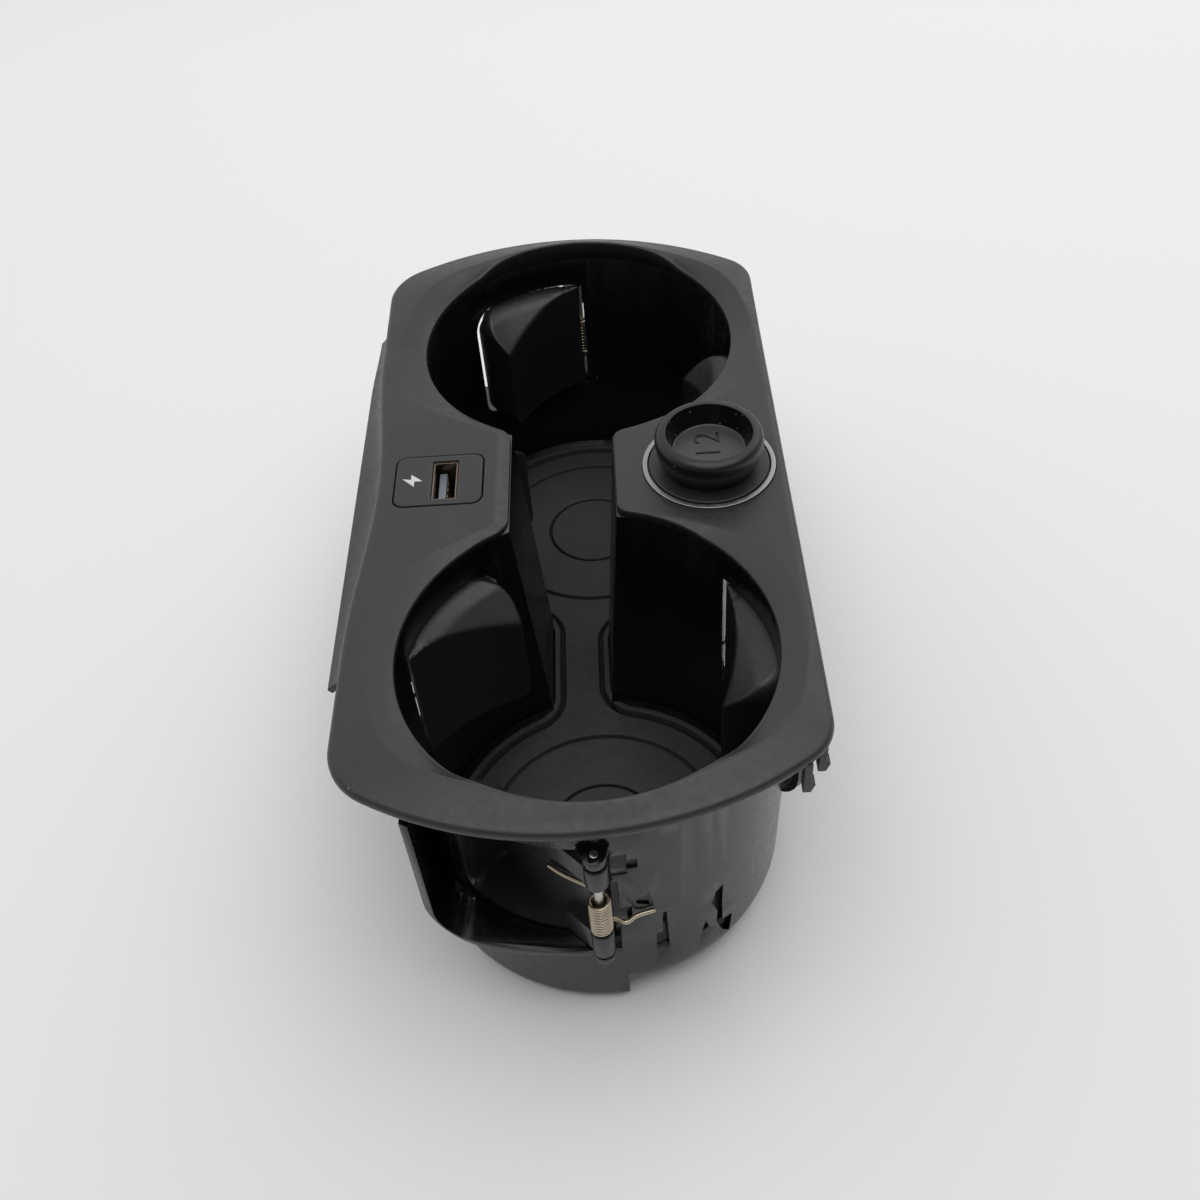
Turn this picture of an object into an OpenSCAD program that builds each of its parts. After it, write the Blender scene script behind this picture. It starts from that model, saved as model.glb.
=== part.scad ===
// Twin cup holder insert for a car's centre console.
// X runs to the right, Y to the rear and Z up. The origin is midway between the cups,
// at the level of the two cup floors' underside, on which the insert stands.

/* [Cups] */
// Radius of each cup well
well_r = 43.5; // [41:0.5:46]
// Distance between the two wells' walls
cup_gap = 29; // [27:1:34]
// Height of the wells' rims over the underside
open_z = 80; // [74:1:90]
// Thickness of the wells' walls near the floor
well_wall = 2; // [1.6:0.1:2.6]
// How much thicker the walls are at the top
wall_draft = 1.5; // [0.5:0.1:2]
// Thickness of the wells' floors
floor_t = 2; // [1.6:0.1:3]
// Radius of the rounded lower edge of the wells
foot_round = 12; // [8:0.5:13]

/* [Channel between the cups] */
// Left side of the channel at the rim
channel_left = -18.5; // [-20:0.5:-16]
// Right side of the channel at the rim
channel_right = 8.6; // [6:0.2:11]
// How far each side of the channel leans in towards the floor
channel_lean = 5.3; // [3:0.1:6]

/* [Bezel] */
// Width of the bezel to the right of the wells
right_w = 8.5; // [7.5:0.5:12]
// Width of the bezel to the left of the wells
left_w = 12.3; // [11.3:0.1:16]
// Width of the rim past the wells, front and rear
rim_w = 6.5; // [6:0.5:9]
// Radius of the curved front and rear ends
end_arc_r = 88; // [82:1:98]
// How far the middle of the curved ends lies to the left
end_shift = 3.8; // [2:0.1:5]
// Corner radius on the right
corner_right = 12; // [8:1:15]
// Corner radius on the left
corner_left = 16; // [12:1:18]
// Height of the flat land over the well rims
land_h = 1.5; // [1:0.1:2.5]
// Width of the dished rim round each well
dish_w = 6.8; // [5.5:0.1:7.2]
// Height of the ridge at the front and rear over the well rims
ridge_h = 3.7; // [2.5:0.1:4.5]
// Thickness of the bezel's plate
bezel_t = 2.2; // [1.8:0.1:2.6]
// Depth of the bezel's skirt under the well rims
skirt_drop = 3.6; // [3:0.1:6]
// Depth of the hollow in the bezel's left edge
scallop_d = 3.3; // [1:0.1:4]
// How far the left flank flares out past the bezel's left edge
flank_out = 5.2; // [3:0.1:7]
// Drop of the left flank's lower edge under the well rims
flank_drop = 10; // [7:0.5:13]

/* [Fingers] */
// Radius of the fingers' hinge pins
pin_r = 1.05; // [0.9:0.05:1.3]
// Distance of the hinge axis outside the well's inner wall
hinge_out = 5.5; // [5.2:0.1:6.5]
// How far a finger reaches into the well at rest
finger_reach = 13.2; // [11:0.2:14.4]
// Angle from a finger's hinge to its inner corner, about the well's axis
finger_span = 46.5; // [42:0.5:48]
// Radius of the hollow face that grips a cup
grip_r = 31; // [29:0.5:36]
// Depth of the fingers' upper edge under the well rims
finger_top = 10; // [9:0.5:12]
// Extra depth of the inner corner, where the top slopes down
finger_slope = 9.5; // [6:0.5:11]
// Height of a finger at the wall
finger_h = 37.8; // [34:0.2:42]
// Wall thickness of the fingers
finger_wall = 1.8; // [1.4:0.1:2.2]
// Hinge angle of the left fingers
hinge_left = 169.5; // [166:0.5:172]
// Hinge angle of the right fingers
hinge_right = 38; // [35:0.5:40]

/* [Springs] */
// Wire radius of the torsion springs
wire_r = 0.55; // [0.4:0.05:0.6]
// Mean radius of the springs' coils
coil_r = 2.1; // [1.95:0.05:2.2]
// Depth of the coils' lower end under the well rims
coil_low = 38; // [36:0.5:38.5]
// Depth of the coils' upper end under the well rims
coil_high = 26.5; // [25:0.1:27]

/* [Mat] */
// Thickness of the rubber mat
mat_t = 3; // [2:0.2:4]
// Height of the mat's raised edge
mat_lip = 0.8; // [0.4:0.1:1.2]
// Width of the mat's neck in the channel
mat_neck = 16; // [14:0.5:16]

/* [USB port] */
// Middle of the port, left of the wells' centre line
usb_x = -36.5; // [-37.5:0.5:-35.5]
// Length of the port's frame across the part
usb_l = 22.4; // [20:0.2:23]
// Width of the port's frame along the part
usb_w = 18.6; // [17.4:0.2:20]
// Opening of the port across the part
port_l = 6.4; // [6:0.1:7]
// Opening of the port along the part
port_w = 14.2; // [14:0.1:15]

/* [Power socket] */
// Middle of the socket, right of the wells' centre line
socket_x = 32.6; // [32:0.1:33]
// Bore radius of the socket's steel barrel
socket_r = 10.7; // [10.4:0.1:11]
// Outer radius of the silver ring
ring_r = 17; // [16.6:0.1:17.6]
// Outer radius of the cap's grip
cap_r = 13.5; // [12.6:0.1:14]
// Height of the cap's grip over the well rims
cap_top = 12; // [9:0.5:14]
// Length of the cap's stem
cap_stem = 20; // [14:1:24]

/* [Hidden] */

$fn = 96;
eps = 0.05;
past = 1;
slack = 0.3;

// Places that follow from the sizes above
cup_y = well_r + cup_gap / 2;
edge_right = well_r + right_w;
edge_left = -well_r - left_w;
dish_r = well_r + dish_w;
end_x = -end_shift;
half_l = cup_y + well_r + rim_w;
hinge_r = well_r + hinge_out;
plate_z = open_z + land_h - bezel_t;
flange_t = 2;
flange_inset = 3.2;
wall_top_r = well_r + well_wall + wall_draft;
wall_low_r = well_r + well_wall;
scallop_y = -1;
scallop_half = 55;
hinge_end = -90;

// Heights of the fingers' pockets
window_z0 = open_z - finger_top - finger_h - 0.6;
window_z1 = open_z - finger_top + 0.4;
window_a0 = -1.5;
window_a1 = finger_span + 1.2;
window_round = 7;
window_foot_round = 4;
shelf_t = 2;
bracket_t = 2.5;
knuckle_r = 2.6;
upper_knuckle_h = 7;
lower_knuckle_top = open_z - coil_low - wire_r - 0.6;
pocket_y = 38.2;
pocket_wall = 1.9;
pocket_reach = 44;
pocket_round = 8;
pocket_inset = 0.8;
pocket_rim_z = open_z - skirt_drop - 1;
knuckle_clear = knuckle_r + 0.6;

// Shape functions
function polar(r, a) = [r * cos(a), r * sin(a)];
function arc(c, r, a0, a1, n) = [for (i = [0:n]) c + polar(r, a0 + (a1 - a0) * i / n)];
function bezier(p, q, r, n) =
    [for (i = [1:n]) let (t = i / n) (1 - t) * (1 - t) * p + 2 * t * (1 - t) * q + t * t * r];

// The edge's corner circle touches both the end arc and the side
function corner_y(r, side) =
    half_l - end_arc_r + sqrt(pow(end_arc_r - r, 2) - pow(abs(side - end_x) - r, 2));
function corner_angle(r, side) = atan2(corner_y(r, side) - half_l + end_arc_r, abs(side - end_x) - r);
function scallop_x(y) =
    abs(y - scallop_y) < scallop_half
    ? scallop_d * (0.5 + 0.5 * cos(180 * (y - scallop_y) / scallop_half)) : 0;

// Outline of the bezel, drawn in by d, counter-clockwise from the right front
function outline(d) =
    let (ar = corner_angle(corner_right, edge_right), al = corner_angle(corner_left, edge_left))
    let (yr = corner_y(corner_right, edge_right), yl = corner_y(corner_left, edge_left))
    let (cr = edge_right - corner_right, cl = edge_left + corner_left)
    let (ye = half_l - end_arc_r)
    concat(
        arc([cr, yr], corner_right - d, 0, ar, 6),
        arc([end_x, ye], end_arc_r - d, ar + 2, 178 - al, 14),
        arc([cl, yl], corner_left - d, 180 - al, 180, 6),
        [for (i = [1:21]) let (y = yl - 2 * yl * i / 22) [edge_left + d + scallop_x(y), y]],
        arc([cl, -yl], corner_left - d, 180, 180 + al, 6),
        arc([end_x, -ye], end_arc_r - d, 182 + al, 358 - ar, 14),
        arc([cr, -yr], corner_right - d, 360 - ar, 360, 6)
    );

// Solid through rings of equal length, each a list of 3-D points
module loft(rings) {
    n = len(rings[0]);
    m = len(rings);
    points = [for (ring = rings) for (p = ring) p];
    sides = [for (i = [0:m - 2]) for (j = [0:n - 1]) let (k = (j + 1) % n)
        each [[i * n + j, (i + 1) * n + j, i * n + k], [(i + 1) * n + j, (i + 1) * n + k, i * n + k]]];
    caps = [[for (j = [0:n - 1]) j], [for (j = [0:n - 1]) m * n - 1 - j]];
    polyhedron(points = points, faces = concat(sides, caps), convexity = 8);
}

function ring_at(d, z) = [for (p = outline(d)) [p[0], p[1], z]];

// Puts something at each well
module each_cup() {
    for (s = [-1, 1]) translate([0, s * cup_y, 0]) children();
}

// Puts a shape from a finger's own frame, with X through its hinge, in its well
module at_finger(rear, angle) {
    mirror([0, rear ? 1 : 0, 0])
        translate([0, -cup_y, 0]) rotate(angle) mirror([0, 1, 0]) children();
}

module each_finger() {
    for (rear = [false, true])
        for (angle = [hinge_end, hinge_left, hinge_right])
            at_finger(rear, angle) children();
}

// Bezel
dish_slope = land_h / (dish_r - well_r);
chamfer_w = 2;
usb_round = 3;
usb_gap = 0.3;
ridge_tilt = atan((ridge_h - land_h) / well_r);
ridge_end = 0.6 * well_r;

module rounded_plate(l, w, r, h) {
    linear_extrude(h) polygon(concat(
        arc([l / 2 - r, w / 2 - r], r, 0, 90, 6), arc([r - l / 2, w / 2 - r], r, 90, 180, 6),
        arc([r - l / 2, r - w / 2], r, 180, 270, 6), arc([l / 2 - r, r - w / 2], r, 270, 360, 6)));
}

// The raised rim at an end is a ring that leans, so that it sinks under the land midway
module end_ridge(s) {
    intersection() {
        translate([0, s * cup_y, plate_z + bezel_t]) rotate([s * ridge_tilt, 0, 0])
            rotate_extrude() polygon([
                [well_r, -land_h - 0.6], [well_r + 1.8, 0], [well_r + 2.6, 0],
                [dish_r + 1, -1.2], [dish_r + 1, -1.8], [well_r, -2.2]]);
        translate([-half_l, s > 0 ? cup_y - ridge_end : -2 * half_l - cup_y + ridge_end, plate_z])
            cube([2 * half_l, 2 * half_l, 2 * ridge_h]);
        translate([0, 0, plate_z - past]) linear_extrude(3 * ridge_h) polygon(outline(0.4));
    }
}

// Left flank: the scalloped edge above, a straight flared edge below
flank_y0 = -cup_y;
flank_y1 = cup_y + 19;
flank_t = 2;
module flank() {
    steps = 24;
    x_low = edge_left - flank_out;
    z = open_z;
    loft([for (i = [0:steps])
        let (y = flank_y0 + (flank_y1 - flank_y0) * i / steps)
        let (x = edge_left + scallop_x(y))
        [[x + flank_t, y, z - flank_t], [x_low + flank_t, y, z - flank_drop],
         [x_low, y, z - flank_drop], [x, y, z + 0.2]]]);
}

// Snap hooks under the bezel's right front corner
hook_l = 5;
hook_t = 1.8;
hook_drop = 12;
hook_barb = 1.4;
hook_in = 3;
hook_y = [-half_l + 20, -half_l + 13];
function edge_x(y) =
    let (a = corner_angle(corner_right, edge_right), c = corner_y(corner_right, edge_right))
    abs(y) > c + corner_right * sin(a)
    ? end_x + sqrt(pow(end_arc_r, 2) - pow(abs(y) - half_l + end_arc_r, 2))
    : edge_right - corner_right + sqrt(pow(corner_right, 2) - pow(max(abs(y) - c, 0), 2));
module snap_hook() {
    rotate([90, 0, 0]) linear_extrude(hook_l, center = true) polygon([
        [0, 0], [hook_t, 0], [hook_t, 4 - hook_drop], [hook_t + hook_barb, 3 - hook_drop],
        [hook_t, -hook_drop], [0, -hook_drop]]);
}

screw_in_x = 8;
screw_in_y = 22;
screw_places = [for (x = [edge_right - screw_in_x, edge_left + screw_in_x + 1]) for (s = [-1, 1])
    [x, s * (half_l - screw_in_y)]];
screw_r = 1.2;
screw_head_r = 3;
screw_head_t = 1.6;
screw_bite = 1.2;

module channel_cut(grow) {
    x0 = channel_left - grow;
    x1 = channel_right + grow;
    c = chamfer_w * 2;
    yl = cup_y - sqrt(pow(well_r, 2) - pow(x0, 2));
    yr = cup_y - sqrt(pow(well_r, 2) - pow(x1, 2));
    polygon([
        [x1, -yr + c], [x1, yr - c], [x1 + c, yr + c], [0, yr + 3 * c], [x0 - c, yl + c],
        [x0, yl - c], [x0, -yl + c], [x0 - c, -yl - c], [0, -yr - 3 * c], [x1 + c, -yr - c]]);
}

module bezel() {
    color("#3c3d3f") difference() {
        union() {
            difference() {
                union() {
                    loft([ring_at(1, open_z - skirt_drop), ring_at(0, open_z - skirt_drop + 0.8),
                        ring_at(0, open_z + land_h - 1.2), ring_at(0.5, open_z + land_h - 0.35),
                        ring_at(1.6, open_z + land_h)]);
                    flank();
                    for (y = hook_y) translate([edge_x(y) - hook_in, y, open_z]) snap_hook();
                }
                each_cup() translate([0, 0, open_z])
                    cylinder(h = 2 * land_h, r1 = well_r, r2 = well_r + 2 * land_h / dish_slope);
            }
            end_ridge(-1);
            end_ridge(1);
        }
        difference() {
            translate([0, 0, open_z - skirt_drop - past])
                linear_extrude(plate_z - open_z + skirt_drop + past) polygon(outline(flange_inset - 0.8));
            for (y = hook_y) translate([edge_x(y) - hook_in, y, open_z]) snap_hook();
        }
        each_cup() translate([0, 0, plate_z - past]) cylinder(h = bezel_t + ridge_h + 2 * past, r = well_r);
        translate([0, 0, plate_z - past]) linear_extrude(bezel_t + 2 * past) channel_cut(0);
        hull() {
            translate([0, 0, open_z]) linear_extrude(eps) channel_mouth(0);
            translate([0, 0, open_z + land_h]) linear_extrude(eps) channel_mouth(chamfer_w);
        }
        translate([usb_x, 0, plate_z - past])
            rounded_plate(usb_l + 2 * usb_gap, usb_w + 2 * usb_gap, usb_round, bezel_t + 2 * past);
        translate([socket_x, 0, plate_z - past]) cylinder(h = bezel_t + 2 * past, r = ring_r);
        for (p = screw_places) translate([p[0], p[1], plate_z - past])
            cylinder(h = past + screw_bite + 0.2, r = screw_r + 0.02);
    }
}

module channel_mouth(grow) {
    y = cup_y - well_r;
    polygon([[channel_left - grow, -y], [channel_right + grow, -y],
        [channel_right + grow, y], [channel_left - grow, y]]);
}

module bezel_screws() {
    color("#9a9c9e") for (p = screw_places) translate([p[0], p[1], 0]) {
        translate([0, 0, plate_z - flange_t - screw_head_t]) cylinder(h = screw_head_t, r = screw_head_r);
        translate([0, 0, plate_z - flange_t - eps]) cylinder(h = flange_t + eps + screw_bite, r = screw_r);
    }
}

// Tub: both wells, the channel, the flange and the fingers' pockets in one moulding
neck_wall = 2.4;
neck_y = cup_y - 34;
sector_a0 = -140;
sector_a1 = -84;
sector_round = 4;
collar_h = 16;

module well_outside() {
    rotate_extrude() polygon(concat(
        [[0, 0], [wall_low_r - foot_round, 0]],
        arc([wall_low_r - foot_round, foot_round], foot_round, -84, 0, 9),
        [[wall_top_r, plate_z], [0, plate_z]]));
}

// A stretch of the front well's foot is filled out nearly square
module foot_sector() {
    translate([0, -cup_y, 0]) rotate(sector_a0) rotate_extrude(angle = sector_a1 - sector_a0)
        polygon(concat(
            [[wall_low_r - foot_round, 0]],
            arc([wall_low_r - sector_round + 0.3, sector_round], sector_round, -90, 0, 6),
            [[wall_low_r + 0.3, window_z0 - shelf_t], [well_r - 1, window_z0 - shelf_t]]));
}

// Space inside a well; its lower edge is chamfered to follow the foot
well_chamfer = 4.4;
module well_space() {
    rotate_extrude() polygon([
        [0, floor_t], [well_r - well_chamfer, floor_t], [well_r, floor_t + well_chamfer],
        [well_r, open_z + past], [0, open_z + past]]);
}

module leaning_box(x0, x1, lean, z0, z1, y) {
    t = (z1 - z0) / open_z;
    rotate([90, 0, 0]) linear_extrude(2 * y, center = true)
        polygon([[x0 + lean * t, z0], [x1 - lean * t, z0], [x1, z1], [x0, z1]]);
}

// One window, in the finger's frame
module window_cut() {
    r = window_round;
    f = window_foot_round;
    half_a = (window_a1 - window_a0) / 2;
    half_w = well_r * sin(half_a);
    x0 = well_r * cos(half_a) - 3;
    intersection() {
        rotate(window_a0 + half_a) translate([x0, 0, 0]) rotate([90, 0, 90])
            linear_extrude(hinge_r - x0) polygon(concat(
                [[-2 * half_w, window_z1], [-2 * half_w, window_z0]],
                arc([half_w - f, window_z0 + f], f, -90, 0, 5),
                arc([half_w - r, window_z1 - r], r, 0, 90, 6)));
        linear_extrude(open_z) polygon([
            [well_r / 2, -0.8], [well_r, -1.2], [hinge_r - 2.4, -knuckle_clear],
            [2 * hinge_r, -knuckle_clear], [2 * hinge_r, hinge_r], [0, hinge_r]]);
    }
}

// Shelf and end wall of one pocket, in the finger's frame
module pocket() {
    y0 = -4;
    y1 = pocket_y + pocket_wall;
    z0 = window_z0 - shelf_t;
    z1 = plate_z - flange_t + eps;
    ro = pocket_round + 5;
    translate([well_r - 14, 0, 0]) rotate([90, 0, 90]) linear_extrude(pocket_reach - well_r + 20) difference() {
        polygon(concat([[y0, z1], [y0, z0]], arc([y1 - ro, z0 + ro], ro, -90, 0, 8), [[y1, z1]]));
        polygon(concat([[y0 - past, z1 + past], [y0 - past, window_z0]],
            arc([pocket_y - pocket_round, window_z0 + pocket_round], pocket_round, -90, 0, 8),
            [[pocket_y, z1 + past]]));
    }
}

// Ears that hold a hinge pin over and under the finger
module ear(z, t) {
    translate([hinge_r, 0, z]) cylinder(h = t, r = knuckle_r);
    translate([0, 0, z]) linear_extrude(t) polygon([
        [well_r + 1, -4], [hinge_r, -knuckle_r], [hinge_r, knuckle_r], [well_r + 1, 5]]);
}

module pin_bore() {
    translate([hinge_r, 0, window_z0 - shelf_t - past])
        cylinder(h = window_z1 - window_z0 + shelf_t + bracket_t + 2 * past, r = pin_r + 0.02);
}

// Cuts through the front well's outer wall, given by angle about the well and by depth
module wall_cut(points) {
    translate([0, -cup_y, 0]) rotate(points[0][0]) rotate([90, 0, 90])
        translate([0, 0, well_r - 1]) linear_extrude(8)
            polygon([for (p = points) [well_r * sin(p[0] - points[0][0]), open_z - p[1]]]);
}

latch_hole = [[-82, 13], [-86.6, 13], [-86.6, 21], [-82, 21], [-82, 19], [-79, 19], [-79, 15.5], [-82, 15.5]];
leg_slot = [[-84.8, 23.5], [-86.8, 23.5], [-86.8, 42], [-82.6, 42], [-81.2, 39.5], [-81.2, 35.5], [-84.8, 35.5]];
leg_catch = [[-76.6, 34.5], [-80.4, 33], [-80.4, 34.6], [-76.6, 36.4]];
step_slot = [[-71.6, 42], [-72.9, 42], [-72.9, 51], [-75, 51], [-75, 60.5], [-70.8, 59.5]];
small_vent = [[-57.4, 59.7], [-58.7, 55.6], [-60, 59.7]];
hook_hole = [
    [-52.6, 43.5], [-55.4, 45], [-57, 49], [-54.5, 54.5], [-54.5, 60], [-52, 66], [-48.5, 70],
    [-47.8, 62], [-52, 61], [-52.6, 52]];

module tub() {
    color("#4b4d50") difference() {
        union() {
            difference() {
                union() {
                    each_cup() well_outside();
                    foot_sector();
                    leaning_box(channel_left - neck_wall, channel_right + neck_wall, channel_lean,
                        0, plate_z, neck_y);
                    translate([0, 0, plate_z - flange_t]) linear_extrude(flange_t)
                        polygon(outline(flange_inset));
                    translate([socket_x, 0, plate_z - collar_h])
                        cylinder(h = collar_h - flange_t + eps, r = socket_body_r + slack + 1.8);
                }
                each_finger() window_cut();
            }
            intersection() {
                each_finger() pocket();
                union() {
                    translate([0, 0, window_z0 - shelf_t - past])
                        linear_extrude(pocket_rim_z - window_z0 + shelf_t + past) polygon(outline(pocket_inset));
                    translate([0, 0, pocket_rim_z - eps]) linear_extrude(open_z - pocket_rim_z)
                        polygon(outline(flange_inset));
                }
            }
            each_finger() {
                ear(window_z1 - 0.6, bracket_t);
                ear(window_z0 - shelf_t, shelf_t);
            }
        }
        each_cup() well_space();
        translate([0, 0, floor_t]) leaning_box(channel_left, channel_right, channel_lean,
            0, open_z, cup_y - 30);
        each_finger() pin_bore();
        for (cut = [latch_hole, leg_slot, leg_catch, step_slot, small_vent, hook_hole])
            wall_cut(cut);
        translate([usb_x, 0, plate_z - flange_t - past])
            rounded_plate(usb_l - 2, usb_w - 0.6, 1, flange_t + 2 * past);
        translate([socket_x, 0, plate_z - collar_h - past])
            cylinder(h = collar_h + 2 * past, r = socket_body_r + slack);
        for (p = screw_places) translate([p[0], p[1], plate_z - flange_t - past])
            cylinder(h = flange_t + 2 * past, r = screw_r + 0.2);
        for (y = hook_y) translate([edge_x(y) - hook_in - slack, y - hook_l / 2 - slack, plate_z - flange_t - past])
            cube([2 * hook_in, hook_l + 2 * slack, flange_t + 2 * past]);
    }
}

// Rubber mat over both floors and the channel
mat_r = well_r - 2;
groove_d = 0.6;
module mat() {
    top = floor_t + mat_t;
    neck_x = (channel_left + channel_right) / 2;
    color("#2e3033") difference() {
        union() {
            each_cup() {
                translate([0, 0, floor_t])
                    cylinder(h = mat_t, r1 = mat_r - mat_t - 0.2, r2 = mat_r);
                translate([0, 0, top - eps]) difference() {
                    cylinder(h = mat_lip + eps, r = mat_r);
                    translate([0, 0, -past]) cylinder(h = mat_lip + 3, r = mat_r - 1.6);
                }
            }
            translate([neck_x - mat_neck / 2, -cup_y / 2, floor_t]) cube([mat_neck, cup_y, mat_t]);
            for (x = [neck_x - mat_neck / 2, neck_x + mat_neck / 2 - 1.2])
                translate([x, -neck_y + 4, top - eps]) cube([1.2, 2 * neck_y - 8, mat_lip + eps]);
        }
        each_cup() translate([0, 0, top - groove_d]) {
            for (r = [well_r - 12.5, well_r - 29.2]) difference() {
                cylinder(h = 3, r = r + 0.5);
                translate([0, 0, -past]) cylinder(h = 3 + 2 * past, r = r - 0.5);
            }
        }
        translate([neck_x - mat_neck / 2 + 1.2, -cup_y / 2, top]) cube([mat_neck - 2.4, cup_y, 3]);
    }
}

// Finger, in its own frame
tip = [well_r - 0.2, 0.2];
inner = polar(well_r - finger_reach, finger_span);
wall_end = polar(well_r - 0.3, finger_span - 8.5);
end_pull = polar(well_r - 6.35, finger_span + 1.9);
end_mid = (inner + 2 * end_pull + wall_end) / 4;
grip_mid = (tip + inner) / 2;
grip_half = norm(inner - tip) / 2;
grip_dir = (inner - tip) / norm(inner - tip);
grip_c = grip_mid + sqrt(pow(grip_r, 2) - pow(grip_half, 2)) * [-grip_dir[1], grip_dir[0]];
grip_a0 = atan2(tip[1] - grip_c[1], tip[0] - grip_c[0]);
grip_a1 = atan2(inner[1] - grip_c[1], inner[0] - grip_c[0]);
finger_z0 = window_z0 + 0.6;
finger_corner = 2.8;
finger_z1 = open_z - finger_top;

module ramp(drop) {
    // Everything above the plane from the wall's edge down to the inner corner
    far = 200;
    chord = wall_end - tip;
    lean = chord / norm(chord);
    across = [-lean[1], lean[0]];
    depth = (inner - tip) * across;
    slope = atan(finger_slope / depth);
    translate([tip[0], tip[1], finger_z1 - drop]) rotate(atan2(lean[1], lean[0]))
        rotate([-slope, 0, 0]) translate([-far / 2, -far / 2, 0]) cube(far);
}

module finger() {
    w = finger_wall;
    color("#2b2c2e") difference() {
        union() {
            difference() {
                translate([0, 0, finger_z0]) linear_extrude(finger_z1 - finger_z0 + 4) polygon(concat(
                    arc(grip_c, grip_r, grip_a0, grip_a1, 16), bezier(inner, end_pull, wall_end, 6),
                    arc([0, 0], well_r - 0.3, finger_span - 9, 2, 14)));
                difference() {
                    translate([0, 0, finger_z0 + w]) linear_extrude(finger_z1) polygon(concat(
                        arc(grip_c, grip_r + w, grip_a0 - 4, grip_a1 - 6, 16),
                        bezier(inner + [3.6, 1], end_pull + [1.6, -1.8], wall_end + [1, -1.6], 6),
                        [wall_end + [6, 3], [well_r + 8, 6], [well_r + 2, -4]]));
                    ramp(w + 0.6);
                    translate([0, 0, finger_z0 + finger_h / 2 - 6]) cube([well_r - 3, well_r, w - 0.3]);
                }
                ramp(0);
                translate([0, 0, finger_z1]) cylinder(h = 9, r = 2 * well_r);
            }
            arm(finger_z1 - 2 - upper_knuckle_h, upper_knuckle_h);
            arm(finger_z0, lower_knuckle_top - finger_z0);
        }
        foot_chamfer(inner, end_mid);
        foot_chamfer(end_mid, wall_end);
        translate([hinge_r, 0, finger_z0 - past]) cylinder(h = finger_h + 2 * past, r = pin_r + 0.06);
    }
}

// Chamfer along the foot of the free end, which clears the window's rounded corner
module foot_chamfer(a, b) {
    c = finger_corner;
    translate([a[0], a[1], finger_z0]) rotate(atan2(b[1] - a[1], b[0] - a[0])) rotate([90, 0, 90])
        translate([0, 0, -past]) linear_extrude(norm(b - a) + 2 * past)
            polygon([[-c - past, -past], [past, -past], [past, c + past]]);
}

// Arm from a knuckle on the pin to the finger's shell
module arm(z, h) {
    translate([hinge_r, 0, z]) cylinder(h = h, r = knuckle_r);
    translate([0, 0, z]) linear_extrude(h) polygon([
        [hinge_r, -knuckle_r + 0.6], [hinge_r, knuckle_r], [well_r + 0.2, 8], [well_r - 2.6, 7.4],
        [well_r - 1, 1.2]]);
}

module pin() {
    color("#c9cbcc") translate([hinge_r, 0, window_z0 - shelf_t])
        cylinder(h = window_z1 - window_z0 + shelf_t + bracket_t - 0.6, r = pin_r);
}

// Torsion spring: housing leg, coil, finger leg, as one bent wire
coil_end = 209.4;
coil_turn = 180 - coil_end + 360 * 10;
coil_steps = 84;
leg_out_r = well_r + well_wall + wall_draft * (open_z - coil_low) / open_z + wire_r + 0.15;
function housing_leg() =
    let (z = open_z - coil_low)
    let (away = polar(leg_out_r, -14.5), over = polar(leg_out_r + 0.3, -9.5))
    [[away[0], away[1], z], [over[0], over[1], z],
     [hinge_r - 0.9, -5.6, z], [hinge_r - 1.6, -3.6, z], [hinge_r - coil_r, -1.6, z]];
function finger_leg() =
    let (z = open_z - coil_high, r = grip_r + finger_wall + wire_r + 0.25)
    let (near = grip_c + polar(r + 0.1, grip_a0 + 13), rest = grip_c + polar(r, grip_a0 + 20))
    let (mid = (near + [hinge_r, 0] + polar(coil_r, coil_end)) / 2)
    [[mid[0], mid[1], z], [near[0], near[1], z], [rest[0], rest[1], z]];
function coil() = [for (i = [0:coil_steps]) let (a = 180 - coil_turn * i / coil_steps)
    [hinge_r + coil_r * cos(a), coil_r * sin(a),
     open_z - coil_low + (coil_low - coil_high) * i / coil_steps]];

module wire(path, r) {
    n = len(path);
    sides = 6;
    loft([for (i = [0:n - 1])
        let (u = path[min(i + 1, n - 1)] - path[max(i - 1, 0)])
        let (t = u / norm(u), b = cross(t, [0, 0, 1]) / norm(cross(t, [0, 0, 1])), c = cross(b, t))
        [for (k = [0:sides - 1]) path[i] + r * (cos(360 * k / sides) * b + sin(360 * k / sides) * c)]]);
}

module spring() {
    color("#b7a98f") wire(concat(housing_leg(), coil(), finger_leg()), wire_r);
}

// USB port
shell_t = 0.4;
usb_top = open_z + land_h + 0.2;
usb_frame_t = usb_top - plate_z;
port_x = usb_x + 1.5;
shell_h = 15;
module usb_frame() {
    color("#303134") difference() {
        translate([usb_x, 0, usb_top - usb_frame_t])
            rounded_plate(usb_l, usb_w, usb_round - usb_gap, usb_frame_t);
        translate([port_x - port_l / 2, -port_w / 2, usb_top - usb_frame_t - past])
            cube([port_l, port_w, usb_frame_t + 2 * past]);
    }
}

module usb_shell() {
    h = shell_h;
    l = port_l - 0.1;
    w = port_w - 0.1;
    color("#8d8a80") difference() {
        translate([port_x - l / 2, -w / 2, usb_top - 0.6 - h]) cube([l, w, h]);
        translate([port_x - l / 2 + shell_t, -w / 2 + shell_t, usb_top - 0.6 - h + shell_t])
            cube([l - 2 * shell_t, w - 2 * shell_t, h]);
    }
}

tongue_t = 1.9;
tongue_w = 11.2;
tongue_h = 12;
contact_t = 0.25;
tongue_z = usb_top - 0.6 - shell_h + shell_t;
module usb_tongue() {
    color("#d8d8d4") translate([port_x - 1.9, -tongue_w / 2, tongue_z]) cube([tongue_t, tongue_w, tongue_h]);
}

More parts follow.
